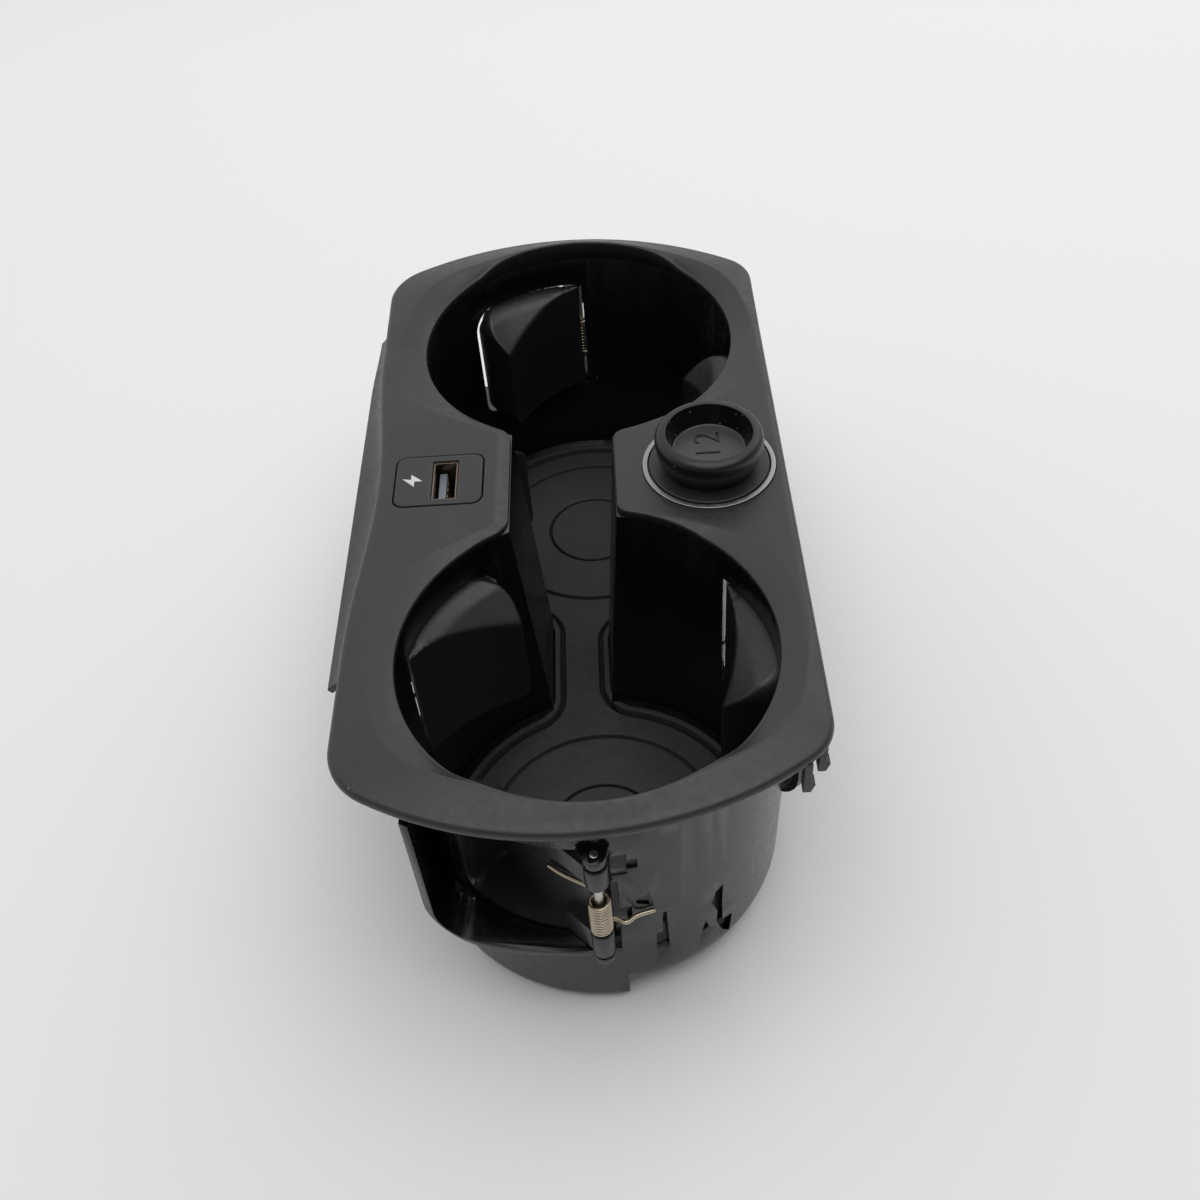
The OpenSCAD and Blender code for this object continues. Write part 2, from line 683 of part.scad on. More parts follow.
module usb_contacts() {
    color("#c8a24a") for (y = [-3.5, -1.2, 1.2, 3.5])
        translate([port_x - 1.9 + tongue_t, y - 0.5, tongue_z + 1]) cube([contact_t, 1, tongue_h - 2.5]);
}

usb_body_h = 30;
module usb_body() {
    top = usb_top - usb_frame_t;
    color("#232426") difference() {
        translate([usb_x - usb_l / 2 + 1.5, -usb_w / 2 + 1.1, top - usb_body_h])
            cube([usb_l - 3, usb_w - 2.2, usb_body_h]);
        translate([port_x - port_l / 2, -port_w / 2, usb_top - 0.6 - shell_h])
            cube([port_l, port_w, shell_h]);
    }
}

// Power socket
liner_t = 0.8;
socket_body_r = socket_r + liner_t + 1.4;
seat_r = ring_r - 1.3;
seat_z = open_z + 1.2;
socket_depth = 36;
module socket_ring() {
    color("#c4c6c8") translate([socket_x, 0, plate_z]) difference() {
        cylinder(h = open_z + land_h + 0.6 - plate_z, r = ring_r - 0.05);
        translate([0, 0, -past]) cylinder(h = 12, r = seat_r);
    }
}

module socket_body() {
    color("#252628") translate([socket_x, 0, 0]) difference() {
        union() {
            translate([0, 0, seat_z - socket_depth]) cylinder(h = socket_depth, r = socket_body_r);
            translate([0, 0, plate_z]) cylinder(h = seat_z - plate_z, r = seat_r - 0.05);
        }
        translate([0, 0, seat_z - socket_depth + 2]) cylinder(h = socket_depth, r = socket_r + liner_t);
    }
}

module socket_barrel() {
    color("#a9abad") translate([socket_x, 0, seat_z - socket_depth + 2]) difference() {
        cylinder(h = socket_depth - 3, r = socket_r + liner_t - 0.02);
        translate([0, 0, liner_t]) cylinder(h = socket_depth, r = socket_r);
    }
}

module socket_contact() {
    color("#c8a24a") translate([socket_x, 0, seat_z - socket_depth + 2 + liner_t]) {
        cylinder(h = 1, r = 4.5);
        cylinder(h = 4, r = 2);
    }
}

cap_seat_r = seat_r - 0.3;
cap_seat_t = 2;
cap_wall = 2.3;
cap_dip = 4;
module socket_cap() {
    color("#1f2022") translate([socket_x, 0, 0]) difference() {
        union() {
            translate([0, 0, seat_z]) cylinder(h = cap_seat_t, r = cap_seat_r);
            translate([0, 0, seat_z]) rotate_extrude() polygon(concat(
                [[0, 0], [cap_seat_r - 1.5, 0], [cap_r - 0.8, cap_seat_t + 1]],
                arc([cap_r - 1.6, open_z + cap_top - seat_z - 1.6], 1.6, 0, 90, 5),
                [[0, open_z + cap_top - seat_z]]));
            translate([0, 0, seat_z - cap_stem]) cylinder(h = cap_stem + 1, r = socket_r - 0.3);
        }
        translate([0, 0, open_z + cap_top - cap_dip])
            cylinder(h = cap_dip + past, r1 = cap_r - cap_wall - 1.2, r2 = cap_r - cap_wall + 0.3);
        translate([0, 0, seat_z - cap_stem - past]) cylinder(h = cap_stem - 2, r = socket_r - 2.3);
    }
}

bezel();
tub();
mat();
bezel_screws();
at_finger(false, hinge_end) finger();  // finger_front_end
at_finger(false, hinge_left) finger();  // finger_front_left
at_finger(false, hinge_right) finger();  // finger_front_right
at_finger(true, hinge_end) finger();  // finger_rear_end
at_finger(true, hinge_left) finger();  // finger_rear_left
at_finger(true, hinge_right) finger();  // finger_rear_right
at_finger(false, hinge_end) pin();  // pin_front_end
at_finger(false, hinge_left) pin();  // pin_front_left
at_finger(false, hinge_right) pin();  // pin_front_right
at_finger(true, hinge_end) pin();  // pin_rear_end
at_finger(true, hinge_left) pin();  // pin_rear_left
at_finger(true, hinge_right) pin();  // pin_rear_right
at_finger(false, hinge_end) spring();  // spring_front_end
at_finger(false, hinge_left) spring();  // spring_front_left
at_finger(false, hinge_right) spring();  // spring_front_right
at_finger(true, hinge_end) spring();  // spring_rear_end
at_finger(true, hinge_left) spring();  // spring_rear_left
at_finger(true, hinge_right) spring();  // spring_rear_right
usb_frame();
usb_body();
usb_shell();
usb_tongue();
usb_contacts();
socket_ring();
socket_body();
socket_barrel();
socket_contact();
socket_cap();
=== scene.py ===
"""Looks of a car's twin cup holder insert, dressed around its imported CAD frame.

Geometry is worked out in millimetres in the frame's own axes; MM turns it into metres.
x runs right, y to the rear and z up. The cups' centres lie at x 0, y -CUP_Y and CUP_Y.
"""
import math

import bpy
import bmesh
import numpy as np
from mathutils import Matrix, Vector
from mathutils.geometry import delaunay_2d_cdt


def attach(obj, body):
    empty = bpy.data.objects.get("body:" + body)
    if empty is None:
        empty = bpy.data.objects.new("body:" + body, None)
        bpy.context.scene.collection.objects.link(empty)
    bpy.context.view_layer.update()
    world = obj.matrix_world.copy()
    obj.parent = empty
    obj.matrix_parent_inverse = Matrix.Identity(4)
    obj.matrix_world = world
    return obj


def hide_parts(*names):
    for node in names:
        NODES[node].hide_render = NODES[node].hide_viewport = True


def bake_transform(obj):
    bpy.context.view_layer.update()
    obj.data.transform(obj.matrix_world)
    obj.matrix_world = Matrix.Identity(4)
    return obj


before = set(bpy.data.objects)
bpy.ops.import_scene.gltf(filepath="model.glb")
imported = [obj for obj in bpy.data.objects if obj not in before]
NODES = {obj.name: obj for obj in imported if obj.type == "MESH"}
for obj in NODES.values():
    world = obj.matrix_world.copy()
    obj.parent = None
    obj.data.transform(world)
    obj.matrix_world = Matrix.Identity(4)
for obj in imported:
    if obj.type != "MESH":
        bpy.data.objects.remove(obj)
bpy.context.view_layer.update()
SCENE = bpy.context.scene
MM = 0.001

# ---- sizes, as in the CAD
WELL_R = 43.5
CUP_Y = WELL_R + 29 / 2
OPEN_Z = 80.0
FLOOR_T = 2.0
CHANNEL_LEFT, CHANNEL_RIGHT = -18.5, 8.6
RIGHT_W, LEFT_W, RIM_W = 8.5, 12.3, 6.5
END_ARC_R, END_SHIFT = 88.0, 3.8
CORNER_RIGHT, CORNER_LEFT = 12.0, 16.0
LAND_H, RIDGE_H = 1.5, 3.7
BEZEL_T, SKIRT_DROP = 2.2, 3.6
SCALLOP_D, SCALLOP_Y, SCALLOP_HALF = 3.3, -1.0, 55.0
FLANK_OUT, FLANK_DROP, FLANK_T = 5.2, 10.0, 1.7
EDGE_RIGHT = WELL_R + RIGHT_W
EDGE_LEFT = -WELL_R - LEFT_W
END_X = -END_SHIFT
HALF_L = CUP_Y + WELL_R + RIM_W
PLATE_Z = OPEN_Z + LAND_H - BEZEL_T
REAR_RISE = 1.5
USB_X, USB_L, USB_W = -36.5, 22.4, 18.6
MARK_X = -43.3
SOCKET_X, RING_R = 32.6, 17.0


# ---- small helpers
def polar(r, a):
    """Point at radius r and angle a in degrees."""
    return np.array([r * math.cos(math.radians(a)), r * math.sin(math.radians(a))])


def arc(c, r, a0, a1, n):
    """Points about c at radius r, in n steps from angle a0 to a1."""
    return [np.array(c) + polar(r, a0 + (a1 - a0) * i / n) for i in range(n + 1)]


def smooth(t):
    """Eases from 0 to 1."""
    t = np.clip(t, 0, 1)
    return t * t * (3 - 2 * t)


def new_object(name, verts, faces, mat, body="housing", slot=None, shade=True):
    """A mesh piece from millimetre vertices that rides on a body."""
    me = bpy.data.meshes.new(name)
    me.from_pydata([tuple(float(c) * MM for c in v) for v in verts], [],
                   [tuple(f) for f in faces])
    me.validate()
    me.update()
    ob = bpy.data.objects.new(name, me)
    SCENE.collection.objects.link(ob)
    me.materials.append(mat)
    if shade:
        me.polygons.foreach_set("use_smooth", [True] * len(me.polygons))
    if body:
        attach(ob, body)
    return ob


def outward(ob):
    """Turns a closed mesh's faces outward."""
    bm = bmesh.new()
    bm.from_mesh(ob.data)
    bmesh.ops.recalc_face_normals(bm, faces=bm.faces)
    bm.to_mesh(ob.data)
    bm.free()
    ob.data.update()


def lathe(profile, n=96, centre=(0, 0)):
    """Vertices and faces of a closed (r, z) profile turned about a vertical axis."""
    verts, faces = [], []
    m = len(profile)
    for i in range(n):
        c, s = math.cos(2 * math.pi * i / n), math.sin(2 * math.pi * i / n)
        verts += [(centre[0] + r * c, centre[1] + r * s, z) for r, z in profile]
    for i in range(n):
        for j in range(m):
            a, b = i * m + j, i * m + (j + 1) % m
            c, d = ((i + 1) % n) * m + (j + 1) % m, ((i + 1) % n) * m + j
            faces.append((a, d, c, b))
    return verts, faces


def join_parts(parts):
    """Joins (verts, faces) lists into one."""
    verts, faces = [], []
    for v, f in parts:
        k = len(verts)
        verts += [tuple(p) for p in v]
        faces += [tuple(i + k for i in face) for face in f]
    return verts, faces


# ---- materials
def node(nt, kind, **values):
    """A new shader node; each value goes to the input of that name, or else to the property."""
    n = nt.nodes.new(kind)
    for k, v in values.items():
        if k in n.inputs:
            n.inputs[k].default_value = v
        else:
            setattr(n, k, v)
    return n


PATCH = 45.0                        # scale of the colour's patches, per metre
DUST_COLOUR = (0.30, 0.28, 0.25, 1)


def material(name, colour, rough, grain, grain_mm, metallic=0.0, spread=0.12,
             rough_spread=0.07, dust=0.0, dust_scale=260.0, dust_size=0.055, scuffs=0.0):
    """Moulded or metal surface: patchy colour and gloss, fine grain, scuffs and stray dust."""
    m = bpy.data.materials.new(name)
    m.use_nodes = True
    nt = m.node_tree
    nt.nodes.clear()
    link = nt.links.new
    out = node(nt, "ShaderNodeOutputMaterial")
    b = node(nt, "ShaderNodeBsdfPrincipled")
    b.inputs["Metallic"].default_value = metallic
    link(b.outputs[0], out.inputs[0])
    at = node(nt, "ShaderNodeTexCoord").outputs["Object"]
    broad = node(nt, "ShaderNodeTexNoise", Scale=PATCH, Detail=4.0, Roughness=0.6)
    fine = node(nt, "ShaderNodeTexNoise", Scale=PATCH * 11, Detail=3.0, Roughness=0.55)
    link(at, broad.inputs["Vector"])
    link(at, fine.inputs["Vector"])
    ramp = node(nt, "ShaderNodeValToRGB")
    ramp.color_ramp.elements[0].position = 0.3
    ramp.color_ramp.elements[1].position = 0.7
    ramp.color_ramp.elements[0].color = tuple(c * (1 - spread) for c in colour) + (1,)
    ramp.color_ramp.elements[1].color = tuple(c * (1 + spread) for c in colour) + (1,)
    link(broad.outputs["Fac"], ramp.inputs["Fac"])
    paint = ramp.outputs["Color"]
    gloss = node(nt, "ShaderNodeMapRange")
    gloss.inputs["From Min"].default_value = 0.3
    gloss.inputs["From Max"].default_value = 0.7
    gloss.inputs["To Min"].default_value = max(rough - rough_spread, 0.03)
    gloss.inputs["To Max"].default_value = min(rough + rough_spread, 1.0)
    link(fine.outputs["Fac"], gloss.inputs["Value"])
    rough_out = gloss.outputs["Result"]
    if scuffs:
        # faint pale rub marks, drawn out along one way
        turn = node(nt, "ShaderNodeMapping")
        turn.inputs["Scale"].default_value = (700, 60, 160)
        turn.inputs["Rotation"].default_value = (0.2, 0.1, 0.6)
        streak = node(nt, "ShaderNodeTexNoise", Scale=1.0, Detail=2.0, Roughness=0.5)
        link(at, turn.inputs["Vector"])
        link(turn.outputs[0], streak.inputs["Vector"])
        cut = node(nt, "ShaderNodeMapRange")
        cut.inputs["From Min"].default_value = 0.66
        cut.inputs["From Max"].default_value = 0.78
        cut.inputs["To Max"].default_value = scuffs
        link(streak.outputs["Fac"], cut.inputs["Value"])
        mix = node(nt, "ShaderNodeMix", data_type="RGBA")
        link(cut.outputs["Result"], mix.inputs[0])
        link(paint, mix.inputs[6])
        mix.inputs[7].default_value = tuple(min(c * 2.2 + 0.03, 1) for c in colour) + (1,)
        paint = mix.outputs[2]
    if dust:
        spots = node(nt, "ShaderNodeTexVoronoi", Scale=dust_scale, Randomness=1.0)
        link(at, spots.inputs["Vector"])
        near = node(nt, "ShaderNodeMapRange")
        near.inputs["From Min"].default_value = dust_size / 2
        near.inputs["From Max"].default_value = dust_size
        near.inputs["To Min"].default_value = 1.0
        near.inputs["To Max"].default_value = 0.0
        link(spots.outputs["Distance"], near.inputs["Value"])
        pick = node(nt, "ShaderNodeSeparateColor")
        link(spots.outputs["Color"], pick.inputs[0])
        few = node(nt, "ShaderNodeMath", operation="LESS_THAN")
        few.inputs[1].default_value = dust
        link(pick.outputs[0], few.inputs[0])
        both = node(nt, "ShaderNodeMath", operation="MULTIPLY")
        link(near.outputs["Result"], both.inputs[0])
        link(few.outputs[0], both.inputs[1])
        mix = node(nt, "ShaderNodeMix", data_type="RGBA")
        link(both.outputs[0], mix.inputs[0])
        link(paint, mix.inputs[6])
        mix.inputs[7].default_value = DUST_COLOUR
        paint = mix.outputs[2]
    link(paint, b.inputs["Base Color"])
    link(rough_out, b.inputs["Roughness"])
    cells = node(nt, "ShaderNodeTexNoise", Scale=grain, Detail=2.0, Roughness=0.5)
    link(at, cells.inputs["Vector"])
    bump = node(nt, "ShaderNodeBump", Strength=1.0, Distance=grain_mm * MM)
    link(cells.outputs["Fac"], bump.inputs["Height"])
    link(bump.outputs[0], b.inputs["Normal"])
    return m


M = {
    "bezel": material("bezel_soft_black", (0.022, 0.0224, 0.0235), 0.40, grain=2300,
                      grain_mm=0.014, dust=0.05, scuffs=0.07),
    "tub": material("tub_black", (0.0032, 0.0033, 0.0037), 0.26, grain=420, grain_mm=0.004,
                    dust=0.01, scuffs=0.02, rough_spread=0.04),
    "mat": material("mat_rubber", (0.034, 0.035, 0.037), 0.70, grain=2600, grain_mm=0.03,
                    dust=0.10),
    # painted shade: a near-black copy of the mat rubber for the grooves' floors, standing for the
    # shade deep inside the grooves
    "groove": material("mat_groove_painted_shade", (0.005, 0.005, 0.0055), 0.8, grain=2600, grain_mm=0.02),
    "finger": material("finger_black", (0.015, 0.0152, 0.0156), 0.34, grain=1500, grain_mm=0.01,
                       dust=0.02, scuffs=0.10),
    "steel": material("pin_steel", (0.56, 0.55, 0.53), 0.30, metallic=1.0, grain=3000,
                      grain_mm=0.003),
    "spring": material("spring_wire", (0.47, 0.40, 0.30), 0.27, metallic=1.0, grain=3000,
                       grain_mm=0.004, spread=0.2),
    "port": material("port_plastic", (0.020, 0.020, 0.021), 0.42, grain=2300, grain_mm=0.010,
                     dust=0.04),
    "tin": material("port_shell_tin", (0.20, 0.155, 0.11), 0.30, metallic=1.0, grain=2500,
                    grain_mm=0.004),
    "tongue": material("port_tongue_grey", (0.15, 0.165, 0.19), 0.45, grain=2500,
                       grain_mm=0.006),
    "brass": material("contact_gold", (0.55, 0.40, 0.18), 0.32, metallic=1.0, grain=2500,
                      grain_mm=0.004),
    "silver": material("ring_silver", (0.33, 0.33, 0.32), 0.38, metallic=1.0, grain=2800,
                       grain_mm=0.004, spread=0.06),
    "cap": material("cap_rubber", (0.0035, 0.0035, 0.0037), 0.38, grain=2600, grain_mm=0.012,
                    dust=0.05),
    "cap_wall": material("cap_rubber_gloss", (0.0035, 0.0035, 0.0038), 0.16, grain=2600,
                         grain_mm=0.005, dust=0.35, dust_scale=700, dust_size=0.16,
                         rough_spread=0.04),
    # painted light: the sunk face is the same rubber, given a far lighter colour standing for the
    # light that falls on it from above
    "cap_face_lit": material("cap_rubber_face_painted_light", (0.042, 0.0425, 0.044), 0.30, grain=2600,
                         grain_mm=0.010, dust=0.15, rough_spread=0.04),
    "body": material("module_plastic", (0.018, 0.018, 0.019), 0.45, grain=1500, grain_mm=0.012),
    "mark": material("mark_white", (0.62, 0.63, 0.64), 0.5, grain=2500, grain_mm=0.004),
}


def bevel_mod(ob, width):
    """Rounds an object's sharp edges by a width in millimetres."""
    v = ob.modifiers.new("bevel", "BEVEL")
    v.width = width * MM
    v.segments = 2
    v.limit_method = "ANGLE"
    v.angle_limit = math.radians(30)
    v.harden_normals = True


def dress(name, mat, bevel):
    """Gives a CAD node its material and softened edges."""
    o = NODES[name]
    o.data.materials.clear()
    o.data.materials.append(M[mat])
    weld = o.modifiers.new("weld", "WELD")
    weld.merge_threshold = 2e-6
    flat = o.modifiers.new("flat", "DECIMATE")
    flat.decimate_type = "DISSOLVE"
    flat.angle_limit = math.radians(0.4)
    bevel_mod(o, bevel)
    o.data.polygons.foreach_set("use_smooth", [True] * len(o.data.polygons))


# ---- bezel
def corner_y(r, side):
    """y of the centre of the corner of radius r between a side at x = side and the end arc."""
    return HALF_L - END_ARC_R + math.sqrt((END_ARC_R - r) ** 2 - (abs(side - END_X) - r) ** 2)


def corner_angle(r, side):
    """Angle at which that corner runs into the end arc."""
    return math.degrees(math.atan2(corner_y(r, side) - HALF_L + END_ARC_R,
                                   abs(side - END_X) - r))


def scallop(y):
    """How far the left edge draws in at y."""
    if abs(y - SCALLOP_Y) >= SCALLOP_HALF:
        return 0.0
    return SCALLOP_D * (0.5 + 0.5 * math.cos(math.pi * (y - SCALLOP_Y) / SCALLOP_HALF))


def outline(d):
    """The bezel's edge drawn in by d, counter-clockwise from the right front."""
    ar, al = corner_angle(CORNER_RIGHT, EDGE_RIGHT), corner_angle(CORNER_LEFT, EDGE_LEFT)
    yr, yl = corner_y(CORNER_RIGHT, EDGE_RIGHT), corner_y(CORNER_LEFT, EDGE_LEFT)
    cr, cl, ye = EDGE_RIGHT - CORNER_RIGHT, EDGE_LEFT + CORNER_LEFT, HALF_L - END_ARC_R
    pts = [np.array((EDGE_RIGHT - d, -yr + 2 * yr * i / 90)) for i in range(90)]
    pts += arc((cr, yr), CORNER_RIGHT - d, 0, ar, 12)[:-1]
    pts += arc((END_X, ye), END_ARC_R - d, ar, 180 - al, 60)[:-1]
    pts += arc((cl, yl), CORNER_LEFT - d, 180 - al, 180, 14)[:-1]
    pts += [np.array((EDGE_LEFT + d + scallop(y), y))
            for y in [yl - 2 * yl * i / 90 for i in range(90)]]
    pts += arc((cl, -yl), CORNER_LEFT - d, 180, 180 + al, 14)[:-1]
    pts += arc((END_X, -ye), END_ARC_R - d, 180 + al, 360 - ar, 60)[:-1]
    pts += arc((cr, -yr), CORNER_RIGHT - d, 360 - ar, 360, 12)[:-1]
    return np.array(pts)


# Radius of the crease round a cup's dished rim, by angle about the cup. At 90 degrees it looks to
# the channel; the table starts and ends at the bezel's end.
CREASE_START = -95
CREASE = np.array([
    (-95, 43.7), (-76, 43.7), (-66, 43.95), (-59, 44.3), (-52, 45.0), (-43.6, 46.8),
    (-35.7, 48.7), (-29, 49.6), (-19.4, 49.8), (-13.6, 49.4), (2, 49.2), (14, 50.4),
    (22.6, 51.5), (28.7, 51.3), (35, 50.2), (43, 48.4), (47.5, 47.0), (52, 45.9), (58, 45.1),
    (63.5, 44.6), (70, 44.2), (76.6, 44.0), (90, 44.6), (105, 46.0), (114.6, 46.4), (119, 46.3),
    (124, 46.2), (130.6, 46.65), (135, 47.6), (139, 48.6), (143.6, 49.8), (147, 51.0),
    (150, 51.8), (155, 52.4), (162, 52.3), (173, 51.1), (180, 50.6), (192, 50.1), (204, 50.5),
    (212, 50.7), (219, 49.3), (229, 46.7), (238, 44.7), (251, 43.9), (265, 43.7)])
BLUR = np.exp(-0.5 * (np.arange(-9, 10) / 3.2) ** 2)
CREASE_A = np.arange(-95.0, 265.0, 1.0)
CREASE_R = np.interp(CREASE_A, CREASE[:, 0], CREASE[:, 1])
CREASE_R = np.convolve(np.concatenate([CREASE_R[-9:], CREASE_R, CREASE_R[:9]]),
                       BLUR / BLUR.sum(), "valid")
EDGE_LINE = outline(1.0)


def in_table(a):
    """An angle brought into the crease table's turn."""
    return (a - CREASE_START) % 360 + CREASE_START


def crease_r(a):
    return np.interp(in_table(a), np.append(CREASE_A, 265.0), np.append(CREASE_R, CREASE_R[0]))


def edge_r(a):
    """Distance from the front cup's centre to the bezel's edge, by angle."""
    front = EDGE_LINE[EDGE_LINE[:, 1] < 5]
    b = in_table(np.degrees(np.arctan2(front[:, 1] + CUP_Y, front[:, 0])))
    r = np.hypot(front[:, 0], front[:, 1] + CUP_Y)
    k = np.argsort(b)
    return np.interp(in_table(a), b[k], r[k])


def raw_height(r, a, out, rear):
    """Height over the cups' opening plane in a cup's polar frame.

    out runs from 0 beside the cup to 1 at the bezel's end, and rear is true for the rear cup.
    """
    c = crease_r(a)
    crest = LAND_H + (RIDGE_H - LAND_H) * out
    fall = np.clip((r - c) / np.maximum(edge_r(a) - c, 1.0), 0, 1)
    land = crest - (crest - LAND_H + 0.45 * out) * fall
    w = np.maximum(c - WELL_R, 0.05)
    # the dish runs down to the opening plane where it is wide, and fades out where it is narrow
    drop = crest * smooth((w - 0.2) / 3.6)
    u = np.clip((c - r) / w, 0, 1)
    dish = crest - drop * (0.74 * u + 0.26 * u ** 5)
    return np.where(r < c, dish, land) + REAR_RISE * rear * out


def height(x, y):
    """Top of the bezel over the opening plane, with its creases rounded."""
    x, y = np.asarray(x, float), np.asarray(y, float)
    dy = CUP_Y - np.abs(y)
    r, a = np.hypot(x, dy), np.degrees(np.arctan2(dy, x))
    out = np.clip(-dy / WELL_R, 0, 1.1)
    z = sum(w * raw_height(r + d, a, out, y > 0)
            for d, w in ((-0.5, 1), (-0.25, 2), (0, 3), (0.25, 2), (0.5, 1))) / 9
    # the land slopes down to the channel's left edge
    ease = 0.5 + 0.98 * np.clip((CHANNEL_LEFT - 0.3 - x) / 3.3, 0, 1)
    dip = 0.12 * smooth((x - CHANNEL_LEFT + 4.4) / 0.8) * smooth((CHANNEL_LEFT - 2.8 - x) / -0.8)
    ease = ease - dip
    near = (x < 0) & (dy > 0) & (x > CHANNEL_LEFT - 3.6)
    return np.where(near, np.minimum(z, ease), z)


WELL_STEPS, CHANNEL_STEPS = 300, 50


def dumb_bell(gap):
    """The bezel's inner edge, drawn back by gap: both wells joined by the channel."""
    r, x0, x1 = WELL_R + gap, CHANNEL_LEFT - gap, CHANNEL_RIGHT + gap
    a1 = math.degrees(math.acos(x1 / r))
    a0 = math.degrees(math.acos(x0 / r))
    front = arc((0, -CUP_Y), r, a1, a0 - 360, WELL_STEPS)
    y0 = front[-1][1]
    part = range(1, CHANNEL_STEPS)
    left = [np.array((x0, y0 + (-2 * y0) * i / CHANNEL_STEPS)) for i in part]
    rear = arc((0, CUP_Y), r, 360 - a0, -a1, WELL_STEPS)
    y1 = rear[-1][1]
    right = [np.array((x1, y1 - 2 * y1 * i / CHANNEL_STEPS)) for i in part]
    pts = front + left + rear + right
    n = len(pts)
    keep = list(pts)
    # each corner is rounded over m points to either side of it
    for k, m in ((0, 4), (WELL_STEPS, 5), (WELL_STEPS + CHANNEL_STEPS, 5),
                 (2 * WELL_STEPS + CHANNEL_STEPS, 4)):
        a, b, c = pts[(k - m) % n], pts[k % n], pts[(k + m) % n]
        for i in range(-m, m + 1):
            t = (i + m) / (2 * m)
            keep[(k + i) % n] = (1 - t) ** 2 * a + 2 * t * (1 - t) * b + t * t * c
    return np.array(keep)[::-1]


def rounded_rect(cx, cy, w, h, r, n=8):
    """A rectangle w by h about cx, cy, counter-clockwise, with corners of radius r."""
    pts = []
    for (sx, sy), a in zip(((1, 1), (-1, 1), (-1, -1), (1, -1)), (0, 90, 180, 270)):
        pts += arc((cx + sx * (w / 2 - r), cy + sy * (h / 2 - r)), r, a, a + 90, n)
    return np.array(pts)


def offset_loop(pts, d):
    """A closed counter-clockwise loop moved outwards by d."""
    t = np.roll(pts, -1, 0) - np.roll(pts, 1, 0)
    t /= np.linalg.norm(t, axis=1)[:, None]
    return pts + d * np.stack([t[:, 1], -t[:, 0]], 1)


def fill_area(outer, holes, inside):
    """Triangles between loops, with extra points inside.

    Returns the points, the triangles and each loop's own indices.
    """
    loops = [outer] + holes
    pts, edges, marks = [], [], []
    for loop in loops:
        k = len(pts)
        pts += [Vector((float(p[0]), float(p[1]))) for p in loop]
        edges += [(k + i, k + (i + 1) % len(loop)) for i in range(len(loop))]
        marks.append(list(range(k, k + len(loop))))
    pts += [Vector((float(p[0]), float(p[1]))) for p in inside]
    v, _, f, src, _, _ = delaunay_2d_cdt(pts, edges, [], 0, 1e-5)
    where = {}
    for i, origins in enumerate(src):
        for k in origins:
            where[k] = i
    co = np.array([(p.x, p.y) for p in v])
    tri = np.array([t for t in f if len(t) == 3])
    mid = co[tri].mean(1)
    ok = in_loop(mid, outer)
    for h in holes:
        ok &= ~in_loop(mid, h)
    return co, tri[ok], [[where[k] for k in m] for m in marks]


def in_loop(p, loop):
    """Which of the points p lie inside a closed loop."""
    x, y = p[:, 0], p[:, 1]
    inside = np.zeros(len(p), bool)
    j = len(loop) - 1
    for i in range(len(loop)):
        xi, yi, xj, yj = loop[i][0], loop[i][1], loop[j][0], loop[j][1]
        hit = (yi > y) != (yj > y)
        with np.errstate(divide="ignore", invalid="ignore"):
            inside ^= hit & (x < (xj - xi) * (y - yi) / (yj - yi) + xi)
        j = i
    return inside


def stitch(lower, upper):
    """Faces of a band between two loops of equal length."""
    n = len(lower)
    return [(lower[i], lower[(i + 1) % n], upper[(i + 1) % n], upper[i]) for i in range(n)]


